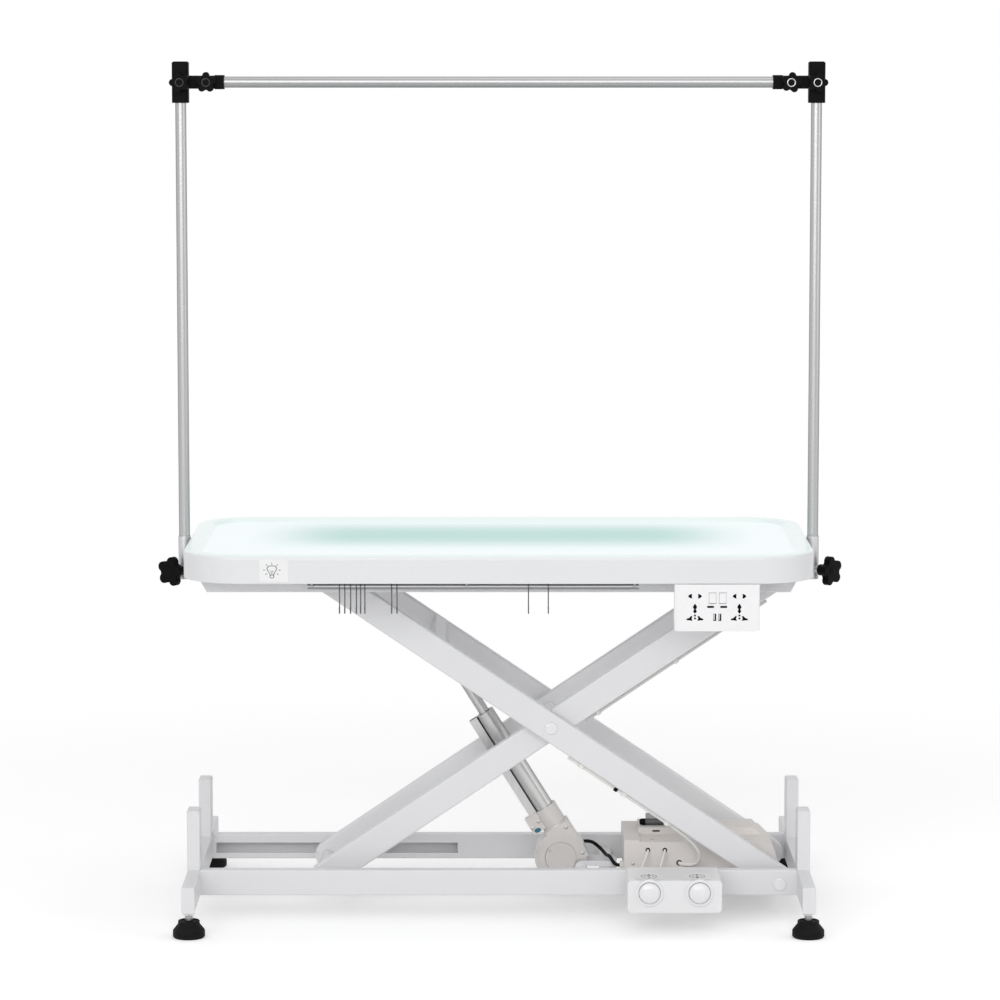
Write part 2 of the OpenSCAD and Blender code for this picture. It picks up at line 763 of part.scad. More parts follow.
// Domed button with two guide tabs behind the panel
module foot_button() {
  color("white") translate([0, -sw_front - 4, 0]) rotate([90, 0, 0]) rotate_extrude() polygon([
    [0, -30], [5, -30], [5, -9], [btn_d / 2, -9],
    [btn_d / 2, 1.5], [btn_d / 2 - 1.5, 3.6], [btn_d / 2 - 5, 5.6], [btn_d / 2 - 10, 7], [0, 8]
  ]);
  color("white") translate([-btn_d / 2 - 3, -sw_front + sw_wall + 0.4, -6]) cube([btn_d + 6, 1.6, 12]);
}

module foot_button_up() {
  translate([btn_x - btn_step / 2, 0, btn_z]) foot_button();
}

module foot_button_down() {
  translate([btn_x + btn_step / 2, 0, btn_z]) foot_button();
}

// Leads of the foot switch
module base_cables() {
  color("white") {
    cable(smooth_route(left_lead, 3), thin_cable_d, 10);
    cable(smooth_route(right_lead, 3), thin_cable_d, 10);
  }
}

// Cables that give way when the lift moves: the white loop and the motor's lead
module lift_cable() {
  color("white") cable(smooth_route(loop_route, 4), cable_d, 10);
  color([0.1, 0.1, 0.1]) cable(smooth_route(motor_lead, 4), cable_d, 10);
}

// Scissor arms

// Frame of the outer arms: +x runs down to the base pivot
module outer_frame() {
  translate([mid_x, 0, mid_z]) rotate([0, lift_angle, 0]) children();
}

// Frame of the inner arms: +x runs up to the top pivot
module inner_frame() {
  translate([mid_x, 0, mid_z]) rotate([0, -lift_angle, 0]) children();
}

module stadium(l, h, t) {
  cube([l, t, h], center = true);
  for (s = [-1, 1]) {
    translate([s * l / 2, 0, 0]) round_y(-t / 2, t / 2, h);
  }
}

// Hollow arm about its middle, pivots at its middle and its +x end, axle at its -x end
module arm_tube() {
  difference() {
    union() {
      difference() {
        intersection() {
          along_x(arm_l + arm_h + 2, arm_t, arm_h, arm_r);
          stadium(arm_l, arm_h, arm_t + 2);
        }
        intersection() {
          along_x(arm_l + arm_h + 2, arm_t - 2 * wall, arm_h - 2 * wall, arm_r - wall);
          stadium(arm_l, arm_h - 2 * wall, arm_t + 2);
        }
      }
      for (x = [0, half_arm]) {
        translate([x, 0, 0]) round_y(-arm_t / 2 + 0.5, arm_t / 2 - 0.5, sleeve_od);
      }
    }
    for (x = [0, half_arm]) {
      translate([x, 0, 0]) round_y(-arm_t, arm_t, bolt_d + 2 * play);
    }
    translate([-half_arm * 0.75, 0, -arm_h / 2 - 1]) cylinder(h = wall + 2, d = drain_d);
  }
}

// Stub axle with its collars, from the arm's inner face outwards to the front
module stub_axle(y_arm) {
  translate([-half_arm, 0, 0]) {
    round_y(-tread_y - tread_w - flange_w - side_gap - retain_w, -y_arm + 1, axle_d);
    round_y(-tread_y + side_gap, -y_arm - arm_t + 0.5, collar_d);
    round_y(-tread_y - tread_w - flange_w - side_gap - retain_w, -tread_y - tread_w - flange_w - side_gap, collar_d);
  }
}

module outer_arm() {
  color("gainsboro") outer_frame() {
    union() {
      translate([0, -outer_y0 - arm_t / 2, 0]) arm_tube();
      stub_axle(outer_y0);
    }
  }
}

module outer_arm_front() {
  outer_arm();
}

module outer_arm_rear() {
  mirror([0, 1, 0]) outer_arm();
}

module inner_arm() {
  color("gainsboro") inner_frame() {
    union() {
      translate([0, -inner_y0 - arm_t / 2, 0]) arm_tube();
      stub_axle(inner_y0);
    }
  }
}

module inner_arm_front() {
  inner_arm();
}

module inner_arm_rear() {
  mirror([0, 1, 0]) inner_arm();
}

// Lifting cross tube with its ears, and the shaft at the base pivot
module outer_cross_tubes() {
  color("gainsboro") outer_frame() {
    union() {
      difference() {
        translate([-lift_tube_x, 0, arm_h / 2 - lift_tube / 2]) along_y(2 * outer_y0, lift_tube, lift_tube, tube_r);
        translate([-lift_tube_x, 0, arm_h / 2 - lift_tube / 2])
          along_y(2 * outer_y0 + 2, lift_tube - 2 * wall, lift_tube - 2 * wall, tube_r - wall / 2);
      }
      for (sy = [-1, 1]) {
        difference() {
          translate([0, sy * (up_ear_y + ear_t / 2), 0]) rotate([90, 0, 0])
            linear_extrude(height = ear_t, center = true) up_ear_shape();
          translate([-lift_tube_x, 0, arm_h / 2 - lift_tube / 2])
            along_y(2 * outer_y0 + 2, lift_tube - 2 * wall, lift_tube - 2 * wall, tube_r - wall / 2);
        }
      }
    }
    for (sy = [-1, 1]) {
      side_of(sy < 0) translate([-eye_x, 0, -eye_z]) pivot_cap(-up_ear_y - ear_t, 18, 5);
    }
    difference() {
      translate([half_arm, 0, 0]) round_y(-outer_y0, outer_y0, shaft_d);
      translate([half_arm, 0, 0]) round_y(-outer_y0 - 1, outer_y0 + 1, bolt_d + 2);
    }
  }
}

module up_ear_shape() {
  translate([-eye_x, -eye_z]) circle(r = eye_r);
  polygon([
    [-lift_tube_x - 12, arm_h / 2 - lift_tube], [-lift_tube_x - 12, arm_h / 2 - 6], [-lift_tube_x + 13, arm_h / 2 - 4],
    [-eye_x + 10, -eye_z + 9.5], [-eye_x - 9, -eye_z - 10]
  ]);
}

// Centre bolts with caps, washers and inner nuts
module centre_pivot_bolts() {
  color("silver") for (f = [true, false]) {
    side_of(f) translate([mid_x, 0, mid_z]) {
      union() {
        round_y(-outer_y1, -inner_y0 + 6, bolt_d);
        pivot_cap(-outer_y1, cap_d, cap_h);
        round_y(-inner_y0 + side_gap, -inner_y0 + 6, cap_d);
      }
      difference() {
        round_y(-outer_y0, -inner_y1 - side_gap, spacer_d);
        round_y(-outer_y0 - 1, -inner_y1 + 1, bolt_d + 2 * play);
      }
    }
  }
}

// Round shafts between the inner arms at both their ends
module inner_cross_tubes() {
  color("gainsboro") inner_frame() {
    for (s = [-1, 1]) {
      difference() {
        translate([s * half_arm, 0, 0]) round_y(-inner_y0, inner_y0, shaft_d);
        translate([s * half_arm, 0, 0]) round_y(-inner_y0 - 1, inner_y0 + 1, shaft_d - 2 * wall - 2);
      }
    }
  }
}

// Cable along the underside of the inner arm's upper half
module inner_arm_cable() {
  lift = arm_h / 2 + cable_d / 2;
  color("white") inner_frame() {
    cable([for (x = [60 : 30 : 480]) [x, -inner_y0 - arm_t / 2, -lift]], cable_d, 10);
    for (x = [90, 270, 450]) {
      translate([x, -inner_y0 - arm_t / 2, -lift - 0.7]) cube([8, 14, cable_d + 1.4], center = true);
    }
  }
}

// Cable along the underside of the outer arm's lower half
module outer_arm_cable() {
  lift = arm_h / 2 + cable_d / 2;
  color("white") outer_frame() {
    cable([for (x = [60 : 24 : 300]) [x, -outer_y0 - arm_t / 2, -lift]], cable_d, 10);
    for (x = [90, 190, 290]) {
      translate([x, -outer_y0 - arm_t / 2, -lift - 0.7]) cube([8, 14, cable_d + 1.4], center = true);
    }
  }
}

// Rollers

// Flanged roller in the front rail's slot
module roller() {
  color([0.8, 0.8, 0.78]) difference() {
    union() {
      round_y(-tread_y - tread_w, -tread_y, tread_d);
      round_y(-tread_y - tread_w - flange_w, -tread_y - tread_w + 1, flange_d);
    }
    round_y(-tread_y - tread_w - flange_w - 1, -tread_y + 1, axle_d + 2 * play);
  }
}

module lower_roller_front() {
  translate([roller_x, 0, pivot_z]) roller();
}

module lower_roller_rear() {
  translate([roller_x, 0, pivot_z]) mirror([0, 1, 0]) roller();
}

module upper_roller_front() {
  translate([roller_x, 0, top_z]) roller();
}

module upper_roller_rear() {
  translate([roller_x, 0, top_z]) mirror([0, 1, 0]) roller();
}

// Actuator

// Frame of the actuator: +z runs from the lower pivot to the rod eye, +x across to the right
module act_frame() {
  translate([act_x, 0, act_z]) rotate([0, -act_turn, 0]) children();
}

module gear_shape() {
  translate([-gear_off, gear_u]) circle(r = gear_r);
  translate([-gear_off, 14]) square([gear_off + gear_half, gear_end - 14]);
  translate([-gear_off, gear_u]) square([gear_off, gear_end - gear_u]);
}

// Gear case with its collar, motor, profile bracket and lower lug
module actuator_housing() {
  color([0.82, 0.81, 0.8]) act_frame() {
    difference() {
      union() {
        rotate([90, 0, 0]) linear_extrude(height = gear_t, center = true) gear_shape();
        translate([0, 0, gear_end - 6]) cylinder(h = motor_collar_end - gear_end + 6, d = motor_collar_d);
        translate([-motor_collar_d / 2 - profile_w - 7, -profile_t / 2 - 3, 101])
          cube([profile_w + 16, profile_t + 6, 36]);
        translate([-gear_off, 0, gear_u]) round_y(gear_t / 2 - 1, gear_t / 2 + motor_l, motor_d);
        translate([-8, -lug_w / 2, 0]) cube([16, lug_w, 20]);
        round_y(-lug_w / 2, lug_w / 2, 22);
      }
      round_y(-gear_t, gear_t / 2 + 1, low_pin_d + 2 * play);
      for (sy = [-1, 1]) {
        translate([-40, sy > 0 ? low_ear_y - ear_gap : -low_ear_y - 20 + ear_gap, -40]) cube([80, 20, 54]);
        translate([0, sy * (low_ear_y - ear_gap + 10), 0]) round_y(-10, 10, 36);
      }
      translate([0, 0, gear_end - 40]) cylinder(h = motor_collar_end - gear_end + 60, d = act_tube_d);
      translate([0, 0, 40]) cylinder(h = 30, d = rod_d + 4);
      translate([-gear_off, 0, gear_u]) round_y(-gear_t / 2 - 1, -gear_t / 2 + 1, 62);
      translate([-act_tube_d / 2 - profile_w, -profile_t / 2, 108]) cube([profile_w, profile_t, 40]);
    }
    difference() {
      translate([-gear_off, 0, gear_u]) round_y(-gear_t / 2 - 1.5, -gear_t / 2 + 1, 60);
      translate([-gear_off, 0, gear_u]) round_y(-gear_t / 2 - 3, -gear_t / 2 - 0.5, 44);
    }
  }
}

// Outer tube with its wiper, and the guide profile at its side
module actuator_tube() {
  color([0.72, 0.72, 0.71]) act_frame() {
    difference() {
      translate([0, 0, gear_end - 40]) cylinder(h = act_tube_l - gear_end + 40, d = act_tube_d);
      translate([0, 0, gear_end - 41]) cylinder(h = act_tube_l - gear_end + 41 - 12, d = act_tube_d - 6);
      translate([0, 0, gear_end]) cylinder(h = act_tube_l, d = rod_d + 2 * play);
    }
    difference() {
      translate([-act_tube_d / 2 - profile_w, -profile_t / 2, 108]) cube([profile_w, profile_t, act_tube_l - 108]);
      translate([-act_tube_d / 2 - profile_w + wall, -profile_t / 2 + wall, 107])
        cube([profile_w - 2 * wall, profile_t - 2 * wall, act_tube_l]);
    }
  }
}

// Rod with its eye and the pin that the ears hold
module actuator_rod() {
  color([0.78, 0.78, 0.77]) act_frame() {
    union() {
      translate([0, 0, act_tube_l - rod_in]) cylinder(h = act_l - act_tube_l + rod_in, d = rod_d);
      translate([0, 0, act_tube_l - rod_in]) cylinder(h = 12, d = act_tube_d - 7);
      translate([0, 0, act_l]) round_y(-eye_w / 2, eye_w / 2, 2 * eye_r);
      translate([0, 0, act_l]) round_y(-eye_w / 2 - 0.5, eye_w / 2 + 0.5, pin_d);
    }
  }
}

// Under-frame and tabletop

// Front rail of the under-frame, with slanted ends and the roller slot in its inner wall
module top_rail() {
  translate([0, -rail_y - tube_t / 2, 0]) difference() {
    intersection() {
      translate([0, 0, under_z + tube_h / 2]) along_x(2 * under_x1 + 2, tube_t, tube_h, tube_r);
      translate([0, 0, under_z]) rail_slant(tube_t + 2, 0);
    }
    intersection() {
      translate([0, 0, under_z + tube_h / 2])
        along_x(2 * under_x1 + 2, tube_t - 2 * wall, tube_h - 2 * wall, tube_r - wall / 2);
      translate([0, 0, under_z]) rail_slant(tube_t + 2, -wall - 0.4);
    }
    translate([-slot_x0, tube_t / 2 - wall - 1, top_z - slot_h / 2]) cube([slot_x0 - slot_x1, wall + 2, slot_h]);
    translate([pivot_x, 0, top_z]) round_y(-tube_t, tube_t, bolt_d + 2 * play);
  }
}

module rail_slant(t, grow) {
  rotate([90, 0, 0]) linear_extrude(height = t, center = true) polygon([
    [-under_x0 - grow, 0], [under_x0 + grow, 0], [under_x1 + grow, tube_h], [-under_x1 - grow, tube_h]
  ]);
}

module top_rail_front() {
  color("gainsboro") top_rail();
}

module top_rail_rear() {
  color("gainsboro") mirror([0, 1, 0]) top_rail();
}

// End bars of the under-frame and the top pivot bolts with their spacers
module top_cross_members() {
  bar_w = 13.5;
  color("gainsboro") for (s = [-1, 1]) {
    translate([s * (under_x1 - bar_w / 2 - 0.2), 0, rail_top - tube_t / 2 - 0.2]) cube([bar_w, 2 * rail_y, tube_t - 0.4], center = true);
  }
  color("silver") for (f = [true, false]) {
    side_of(f) translate([pivot_x, 0, top_z]) {
      union() {
        round_y(-rail_y - tube_t, -inner_y0 - 1, bolt_d);
        pivot_cap(-rail_y - tube_t, cap_d, cap_h);
      }
      difference() {
        round_y(-rail_y, -inner_y1 - side_gap, spacer_d);
        round_y(-rail_y - 1, -inner_y1 + 1, bolt_d + 2 * play);
      }
    }
  }
}

// Sweeps a section round the tabletop; its x runs inwards from the outer face
module round_table(r_out) {
  for (a = [0 : 3]) {
    sx = a == 0 || a == 3 ? 1 : -1;
    sy = a < 2 ? 1 : -1;
    translate([sx * (table_l / 2 - r_out), sy * (table_w / 2 - r_out), 0]) rotate([0, 0, a * 90])
      rotate_extrude(angle = 90) translate([r_out, 0]) mirror([1, 0]) children();
  }
  for (f = [true, false]) {
    side_of(f) translate([0, -table_w / 2, 0]) rotate([90, 0, 90])
      linear_extrude(height = table_l - 2 * r_out, center = true) children();
  }
  for (s = [0, 1]) {
    mirror([s, 0, 0]) translate([-table_l / 2, 0, 0]) rotate([90, 0, 0])
      linear_extrude(height = table_w - 2 * r_out, center = true) children();
  }
}

// Section of the edge band: outer wall, rounded edge, flat rim, inner slope and inner wall
module band_section() {
  difference() {
    union() {
      polygon([
        [0, band_z], [band_t, band_z], [band_t + 2, deck_z], [panel_in + 12, deck_z], [panel_in + 12, deck_z + deck_t],
        [panel_in, deck_z + deck_t], [panel_in, table_z - recess], [rim_w, table_z],
        [edge_r, table_z], [edge_r, table_z - edge_r], [0, table_z - edge_r]
      ]);
      translate([edge_r, table_z - edge_r]) circle(r = edge_r);
    }
    polygon([
      [band_t, band_z - 1], [panel_in - 3, band_z - 1], [panel_in - 3, table_z - recess - 1.5],
      [rim_w - 1, table_z - 3], [edge_r + 1, table_z - 3], [band_t, table_z - edge_r - 1]
    ]);
  }
}

module tabletop_shell() {
  color("white") union() {
    round_table(table_r) band_section();
    translate([0, 0, deck_z]) linear_extrude(height = deck_t)
      rrect(table_l - 2 * panel_in, table_w - 2 * panel_in, table_r - panel_in);
    for (s = [-1, 1]) {
      translate([0, s * (rail_y + tube_t / 2), deck_z - deck_gap / 2]) cube([2 * under_x1 - 8, tube_t - 6, deck_gap], center = true);
    }
  }
}

// Milky light panel in the recess, hollow underneath for its light strips
module light_panel() {
  panel_l = table_l - 2 * panel_in - 0.4;
  panel_w = table_w - 2 * panel_in - 0.4;
  cell_l = (panel_l - 5 * 8) / 4;
  color([0.9, 0.97, 0.96]) translate([0, 0, deck_z + deck_t]) difference() {
    linear_extrude(height = panel_t) rrect(panel_l, panel_w, table_r - panel_in);
    for (i = [-1.5, -0.5, 0.5, 1.5]) {
      translate([i * (cell_l + 8), 0, -1]) linear_extrude(height = panel_t - 4)
        rrect(cell_l, panel_w - 16, abs(i) > 1 ? 66 : 4);
    }
  }
}

// Posts, sleeves, crossbar

// Place along a height knob's axis: +z runs outwards from the right post
module knob_axis(turn) {
  translate([post_x, 0, knob_z]) rotate([0, 0, turn - 90]) rotate([0, 90, 0]) children();
}

module sleeve(turn) {
  difference() {
    union() {
      translate([post_x, 0, sleeve_z]) cylinder(h = sleeve_l, d = sleeve_d);
      translate([table_l / 2, -17, band_z + 2]) cube([flange_t, 34, band_h - edge_r - 4]);
      knob_axis(turn) cylinder(h = sleeve_d / 2 + 7, d = 16);
    }
    translate([post_x, 0, sleeve_z + sleeve_floor]) cylinder(h = sleeve_l, d = post_d + 2 * slide_play);
    knob_axis(turn) cylinder(h = sleeve_d, d = knob_screw + 2 * play);
  }
}

module post_sleeves() {
  color("white") {
    sleeve(right_knob_turn);
    mirror([1, 0, 0]) sleeve(left_knob_turn);
  }
}

module height_knob(turn) {
  color([0.08, 0.08, 0.08]) knob_axis(turn) {
    union() {
      translate([0, 0, post_d / 2 + 0.3]) cylinder(h = big_knob_out - post_d / 2, d = knob_screw);
      translate([0, 0, sleeve_d / 2 + 7.4]) cylinder(h = big_knob_out - sleeve_d / 2 - 7.4, d = 22);
      translate([0, 0, big_knob_out - big_knob_t / 2]) star_head(big_knob_d, big_knob_t, 46);
    }
  }
}

module height_knob_right() {
  height_knob(right_knob_turn);
}

module height_knob_left() {
  mirror([1, 0, 0]) height_knob(left_knob_turn);
}

module gantry_posts() {
  color("silver") for (s = [-1, 1]) {
    translate([s * post_x, 0, post_z]) rotate_extrude() polygon([
      [post_d / 2 - post_wall, 0], [post_d / 2, 0], [post_d / 2, post_l - 1.5], [post_d / 2 - 1.5, post_l],
      [0, post_l], [0, post_l - 4], [post_d / 2 - post_wall, post_l - 4]
    ]);
  }
}

module crossbar() {
  color("silver") difference() {
    translate([0, 0, bar_z]) round_x(-bar_half, bar_half, post_d);
    translate([0, 0, bar_z]) round_x(-bar_half - 1, bar_half + 1, post_d - 2 * post_wall);
  }
}

// Corner clamp on the right post
module clamp() {
  arm_l2 = post_x - clamp_end;
  difference() {
    union() {
      translate([post_x, 0, clamp_z]) along_z(clamp_h - 1.5, clamp_w, clamp_w, 6);
      translate([post_x, 0, clamp_z]) along_z(clamp_h, clamp_w - 4, clamp_w - 4, 5);
      translate([post_x - arm_l2 / 2, 0, bar_z]) along_x(arm_l2, clamp_arm_h, clamp_arm_h - 2, 5);
      translate([clamp_end + clamp_box_l / 2, 0, bar_z]) along_x(clamp_box_l, clamp_arm_h + 2, clamp_arm_h, 4);
      for (x = [post_x, knob_x]) {
        translate([x, 0, bar_z]) round_y(-clamp_w / 2 - 3, -1, 18);
      }
    }
    translate([post_x, 0, clamp_z - 1]) cylinder(h = clamp_h + 2, d = post_d + 2 * slide_play);
    translate([0, 0, bar_z]) round_x(clamp_end - 1, bar_half, post_d);
    for (x = [post_x, knob_x]) {
      translate([x, 0, bar_z]) round_y(-clamp_w, 0, knob_screw + 2 * play);
    }
  }
}

module corner_clamps() {
  color([0.07, 0.07, 0.07]) {
    clamp();
    mirror([1, 0, 0]) clamp();
  }
}

// Star knob of a clamp, pointing to the front, with the angle of its first lobe
module clamp_knob(x, first) {
  y0 = clamp_w / 2 + 3.4;
  color([0.07, 0.07, 0.07]) translate([x, 0, bar_z]) difference() {
    union() {
      round_y(-y0 - knob_t + 2, -post_d / 2 - 0.3, knob_screw);
      round_y(-y0 - 5, -y0, 20);
      translate([0, -y0 - 3, 0]) rotate([90, 0, 0]) star_head(knob_d, knob_t - 3, first);
    }
    difference() {
      round_y(-y0 - knob_t - 1, -y0 - knob_t + 2, 17);
      round_y(-y0 - knob_t - 2, -y0 - knob_t + 3, 12.4);
    }
  }
}

module clamp_knob_left_post() {
  clamp_knob(-post_x, 36);
}

module clamp_knob_left_bar() {
  clamp_knob(-knob_x, 18);
}

module clamp_knob_right_bar() {
  clamp_knob(knob_x, 8);
}

module clamp_knob_right_post() {
  clamp_knob(post_x, 0);
}

// Hooks and outlets

module hook_rail() {
  color("silver") union() {
    translate([0, hook_y, hook_z]) round_x(-rail_left, rail_right, rail_d);
    for (x = [-rail_left + 8, -60, rail_right - 8]) {
      translate([x - 2, -table_w / 2 + band_t, hook_z - 2]) cube([4, rail_in + 2, band_z - hook_z + 22]);
    }
  }
}

// Wire hook that hangs on the rail, its bend towards the front
module hook(i) {
  ring_r = rail_d / 2 + 0.05 + wire_d / 2;
  low = hook_z - hook_l + hook_r;
  color([0.75, 0.75, 0.75]) translate([hook_at[i], 0, 0]) {
    translate([0, hook_y, hook_z]) rotate([0, 90, 0]) rotate_extrude() translate([ring_r, 0]) circle(d = wire_d, $fn = 24);
    translate([0, hook_y, low]) cylinder(h = hook_l - hook_r - ring_r, d = wire_d, $fn = 24);
    translate([0, hook_y - hook_r, low]) rotate([180, 0, 90]) rotate([90, 0, 0])
      rotate_extrude(angle = 180) translate([hook_r, 0]) circle(d = wire_d, $fn = 24);
    translate([0, hook_y - 2 * hook_r, low]) cylinder(h = 5, d = wire_d, $fn = 24);
    translate([0, hook_y - 2 * hook_r, low + 5]) sphere(d = wire_d + 0.8, $fn = 24);
  }
}

module hook_01() { hook(0); }
module hook_02() { hook(1); }
module hook_03() { hook(2); }
module hook_04() { hook(3); }
module hook_05() { hook(4); }
module hook_06() { hook(5); }
module hook_07() { hook(6); }
module hook_08() { hook(7); }
module hook_09() { hook(8); }
module hook_10() { hook(9); }

// Outlet box on its tab under the deck, with a front plate
module outlet_panel() {
  plate_z0 = plate_z1 - plate_h;
  outlet_w = plate_w + outlet_lip + outlet_lip / 2;
  color("whitesmoke") difference() {
    union() {
      translate([plate_x0 + plate_w / 2, plate_y - plate_t / 2 + 2, plate_z0 + plate_h / 2])
        along_y(plate_t, plate_w, plate_h, 4);
      translate([plate_x0 - outlet_lip, plate_y + 1, plate_z0 + 1]) cube([outlet_w, outlet_d, plate_h - 1]);
      translate([plate_x0 + 25, plate_y + outlet_d - 7, plate_z1 - 1]) cube([105, 8, deck_z - plate_z1 + 1]);
    }
    translate([plate_x0 - outlet_lip + 2.5, plate_y + 16, plate_z0 + 3.5])
      cube([outlet_w - 5, outlet_d - 17.5, plate_h - 7]);
    for (s = [-0.5, 0.5]) {
      translate([plate_x0 + rocker_x + s * rocker_step - rocker_w / 2 - 0.3, plate_y - 10, rocker_z - rocker_r - 0.3])
        cube([rocker_w + 0.6, 21, 2 * rocker_r + 0.6]);
    }
    translate([plate_x0 + plate_w - 20, plate_y + outlet_d - 10, plate_z0 + 60]) round_y(0, 20, gland_d);
  }
}

// Rocker that tilts on its axis
module rocker(x) {
  color([0.95, 0.95, 0.95]) translate([x, rocker_y, rocker_z]) difference() {
    round_x(-rocker_w / 2, rocker_w / 2, 2 * rocker_r);
    translate([-rocker_w, -2 * rocker_r - 5, -2 * rocker_r]) cube([2 * rocker_w, 2 * rocker_r, 4 * rocker_r]);
    translate([-rocker_w, 6, -2 * rocker_r]) cube([2 * rocker_w, 2 * rocker_r, 4 * rocker_r]);
  }
}

module rocker_left() {
  rocker(plate_x0 + rocker_x - rocker_step / 2);
}

module rocker_right() {
  rocker(plate_x0 + rocker_x + rocker_step / 2);
}

base_rail_front();
base_rail_rear();
base_legs();
base_cross_tubes();
base_bolts();
foot_front_left();
foot_front_right();
foot_rear_left();
foot_rear_right();
control_box();
foot_switch_box();
foot_button_up();
foot_button_down();
base_cables();
lift_cable();
outer_arm_cable();
inner_arm_cable();
outer_arm_front();
outer_arm_rear();
outer_cross_tubes();
centre_pivot_bolts();
inner_arm_front();
inner_arm_rear();
inner_cross_tubes();
lower_roller_front();
lower_roller_rear();
upper_roller_front();
upper_roller_rear();
actuator_housing();
actuator_tube();
actuator_rod();
top_rail_front();
top_rail_rear();
top_cross_members();
tabletop_shell();
light_panel();
post_sleeves();
height_knob_left();
height_knob_right();
hook_rail();
hook_01();
hook_02();
hook_03();
hook_04();
hook_05();
hook_06();
hook_07();
hook_08();
hook_09();
hook_10();
outlet_panel();
rocker_left();
rocker_right();
gantry_posts();
crossbar();
corner_clamps();
clamp_knob_left_post();
clamp_knob_left_bar();
clamp_knob_right_bar();
clamp_knob_right_post();
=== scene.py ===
import bpy
import bmesh
import math
from mathutils import Matrix, Vector


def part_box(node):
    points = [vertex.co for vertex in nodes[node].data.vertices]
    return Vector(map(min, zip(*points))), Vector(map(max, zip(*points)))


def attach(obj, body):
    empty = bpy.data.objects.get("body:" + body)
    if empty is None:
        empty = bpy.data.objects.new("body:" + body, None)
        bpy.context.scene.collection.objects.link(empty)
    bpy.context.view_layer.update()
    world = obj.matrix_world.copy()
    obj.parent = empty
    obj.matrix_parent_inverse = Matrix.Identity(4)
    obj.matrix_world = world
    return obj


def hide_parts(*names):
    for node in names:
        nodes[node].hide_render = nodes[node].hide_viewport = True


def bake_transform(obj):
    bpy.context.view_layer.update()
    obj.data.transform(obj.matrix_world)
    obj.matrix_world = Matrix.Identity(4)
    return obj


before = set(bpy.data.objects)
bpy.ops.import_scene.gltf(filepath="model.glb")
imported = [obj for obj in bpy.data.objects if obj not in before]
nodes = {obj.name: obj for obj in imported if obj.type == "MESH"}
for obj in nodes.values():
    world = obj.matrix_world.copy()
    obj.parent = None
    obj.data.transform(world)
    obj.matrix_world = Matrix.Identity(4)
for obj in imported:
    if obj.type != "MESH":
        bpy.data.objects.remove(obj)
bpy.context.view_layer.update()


def put_in_scene(name, data):
    item = bpy.data.objects.new(name, data)
    bpy.context.scene.collection.objects.link(item)
    return item


# Camera, in metres and degrees, at the photograph's height and distance

CAMERA_AT = (0.0, -8.234, 1.7969)
CAMERA_PITCH = 6.941
CAMERA_LENS = 153.31
CAMERA_SHIFT = 0.0014
CAMERA_SENSOR = 36.0
CAMERA_NEAR, CAMERA_FAR = 0.05, 200.0


def set_camera():
    lens = bpy.data.cameras.new("camera")
    lens.sensor_width = CAMERA_SENSOR
    lens.lens = CAMERA_LENS
    lens.shift_x = CAMERA_SHIFT
    lens.clip_start = CAMERA_NEAR
    lens.clip_end = CAMERA_FAR
    camera = put_in_scene("camera", lens)
    camera.location = CAMERA_AT
    camera.rotation_euler = (math.radians(90 - CAMERA_PITCH), 0, 0)
    bpy.context.scene.camera = camera


set_camera()


# Sizes shared with the part, in millimetres and degrees; MM turns them into metres

MM = 0.001
LIFT_ANGLE = 34
CENTRE_X, CENTRE_Z = 101.61, 368.37
ACTUATOR_X, ACTUATOR_Z = 163.0, 71.0
ACTUATOR_TURN = 32.002
TABLE_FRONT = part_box("tabletop_shell")[0].y / MM
TABLE_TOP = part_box("tabletop_shell")[1].z / MM
PLATE_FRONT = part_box("outlet_panel")[0].y / MM
BOX_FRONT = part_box("control_box")[0].y / MM
BOX_LID = 133.0
RAISED_LID = 147.0
SWITCH_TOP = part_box("foot_switch_box")[1].z / MM
KNOB_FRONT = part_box("clamp_knob_right_post")[0].y / MM
BAR_Z = 1604.74
POST_X = 612.3
BAR_KNOB_X = 561.5
HEIGHT_KNOB_Z = 659.24
HEIGHT_KNOB_OUT = 51.5
RUBBER_TOP = 33.3
CABLE_D = 7.0
LEAD_D = 5.0


# Shader groups

DRIFT_SCALE, SPOT_SCALE = 3.2, 38.0
SPOT_SHARE = 0.35
SKIN_ROUGH_DRIFT, STREAK_ROUGH_DRIFT = 0.14, 0.12


def shader_group(name, inputs, outputs):
    tree = bpy.data.node_groups.new(name, "ShaderNodeTree")
    for label, kind in inputs:
        tree.interface.new_socket(name=label, in_out="INPUT", socket_type="NodeSocket" + kind)
    for label, kind in outputs:
        tree.interface.new_socket(name=label, in_out="OUTPUT", socket_type="NodeSocket" + kind)
    return tree, tree.nodes.new("NodeGroupInput"), tree.nodes.new("NodeGroupOutput")


def math_node(tree, operation, first=None, second=None, third=None):
    """One Math node; each operand is a number or a socket."""
    node = tree.nodes.new("ShaderNodeMath")
    node.operation = operation
    for place, value in enumerate((first, second, third)):
        if isinstance(value, (int, float)):
            node.inputs[place].default_value = value
        elif value is not None:
            tree.links.new(value, node.inputs[place])
    return node.outputs[0]


def noise_node(tree, vector, scale, detail):
    node = tree.nodes.new("ShaderNodeTexNoise")
    node.inputs["Scale"].default_value = scale
    node.inputs["Detail"].default_value = detail
    tree.links.new(vector, node.inputs["Vector"])
    return node.outputs["Fac"]


def scaled_colour(tree, colour, factor):
    node = tree.nodes.new("ShaderNodeVectorMath")
    node.operation = "SCALE"
    tree.links.new(colour, node.inputs[0])
    tree.links.new(factor, node.inputs["Scale"])
    return node.outputs[0]


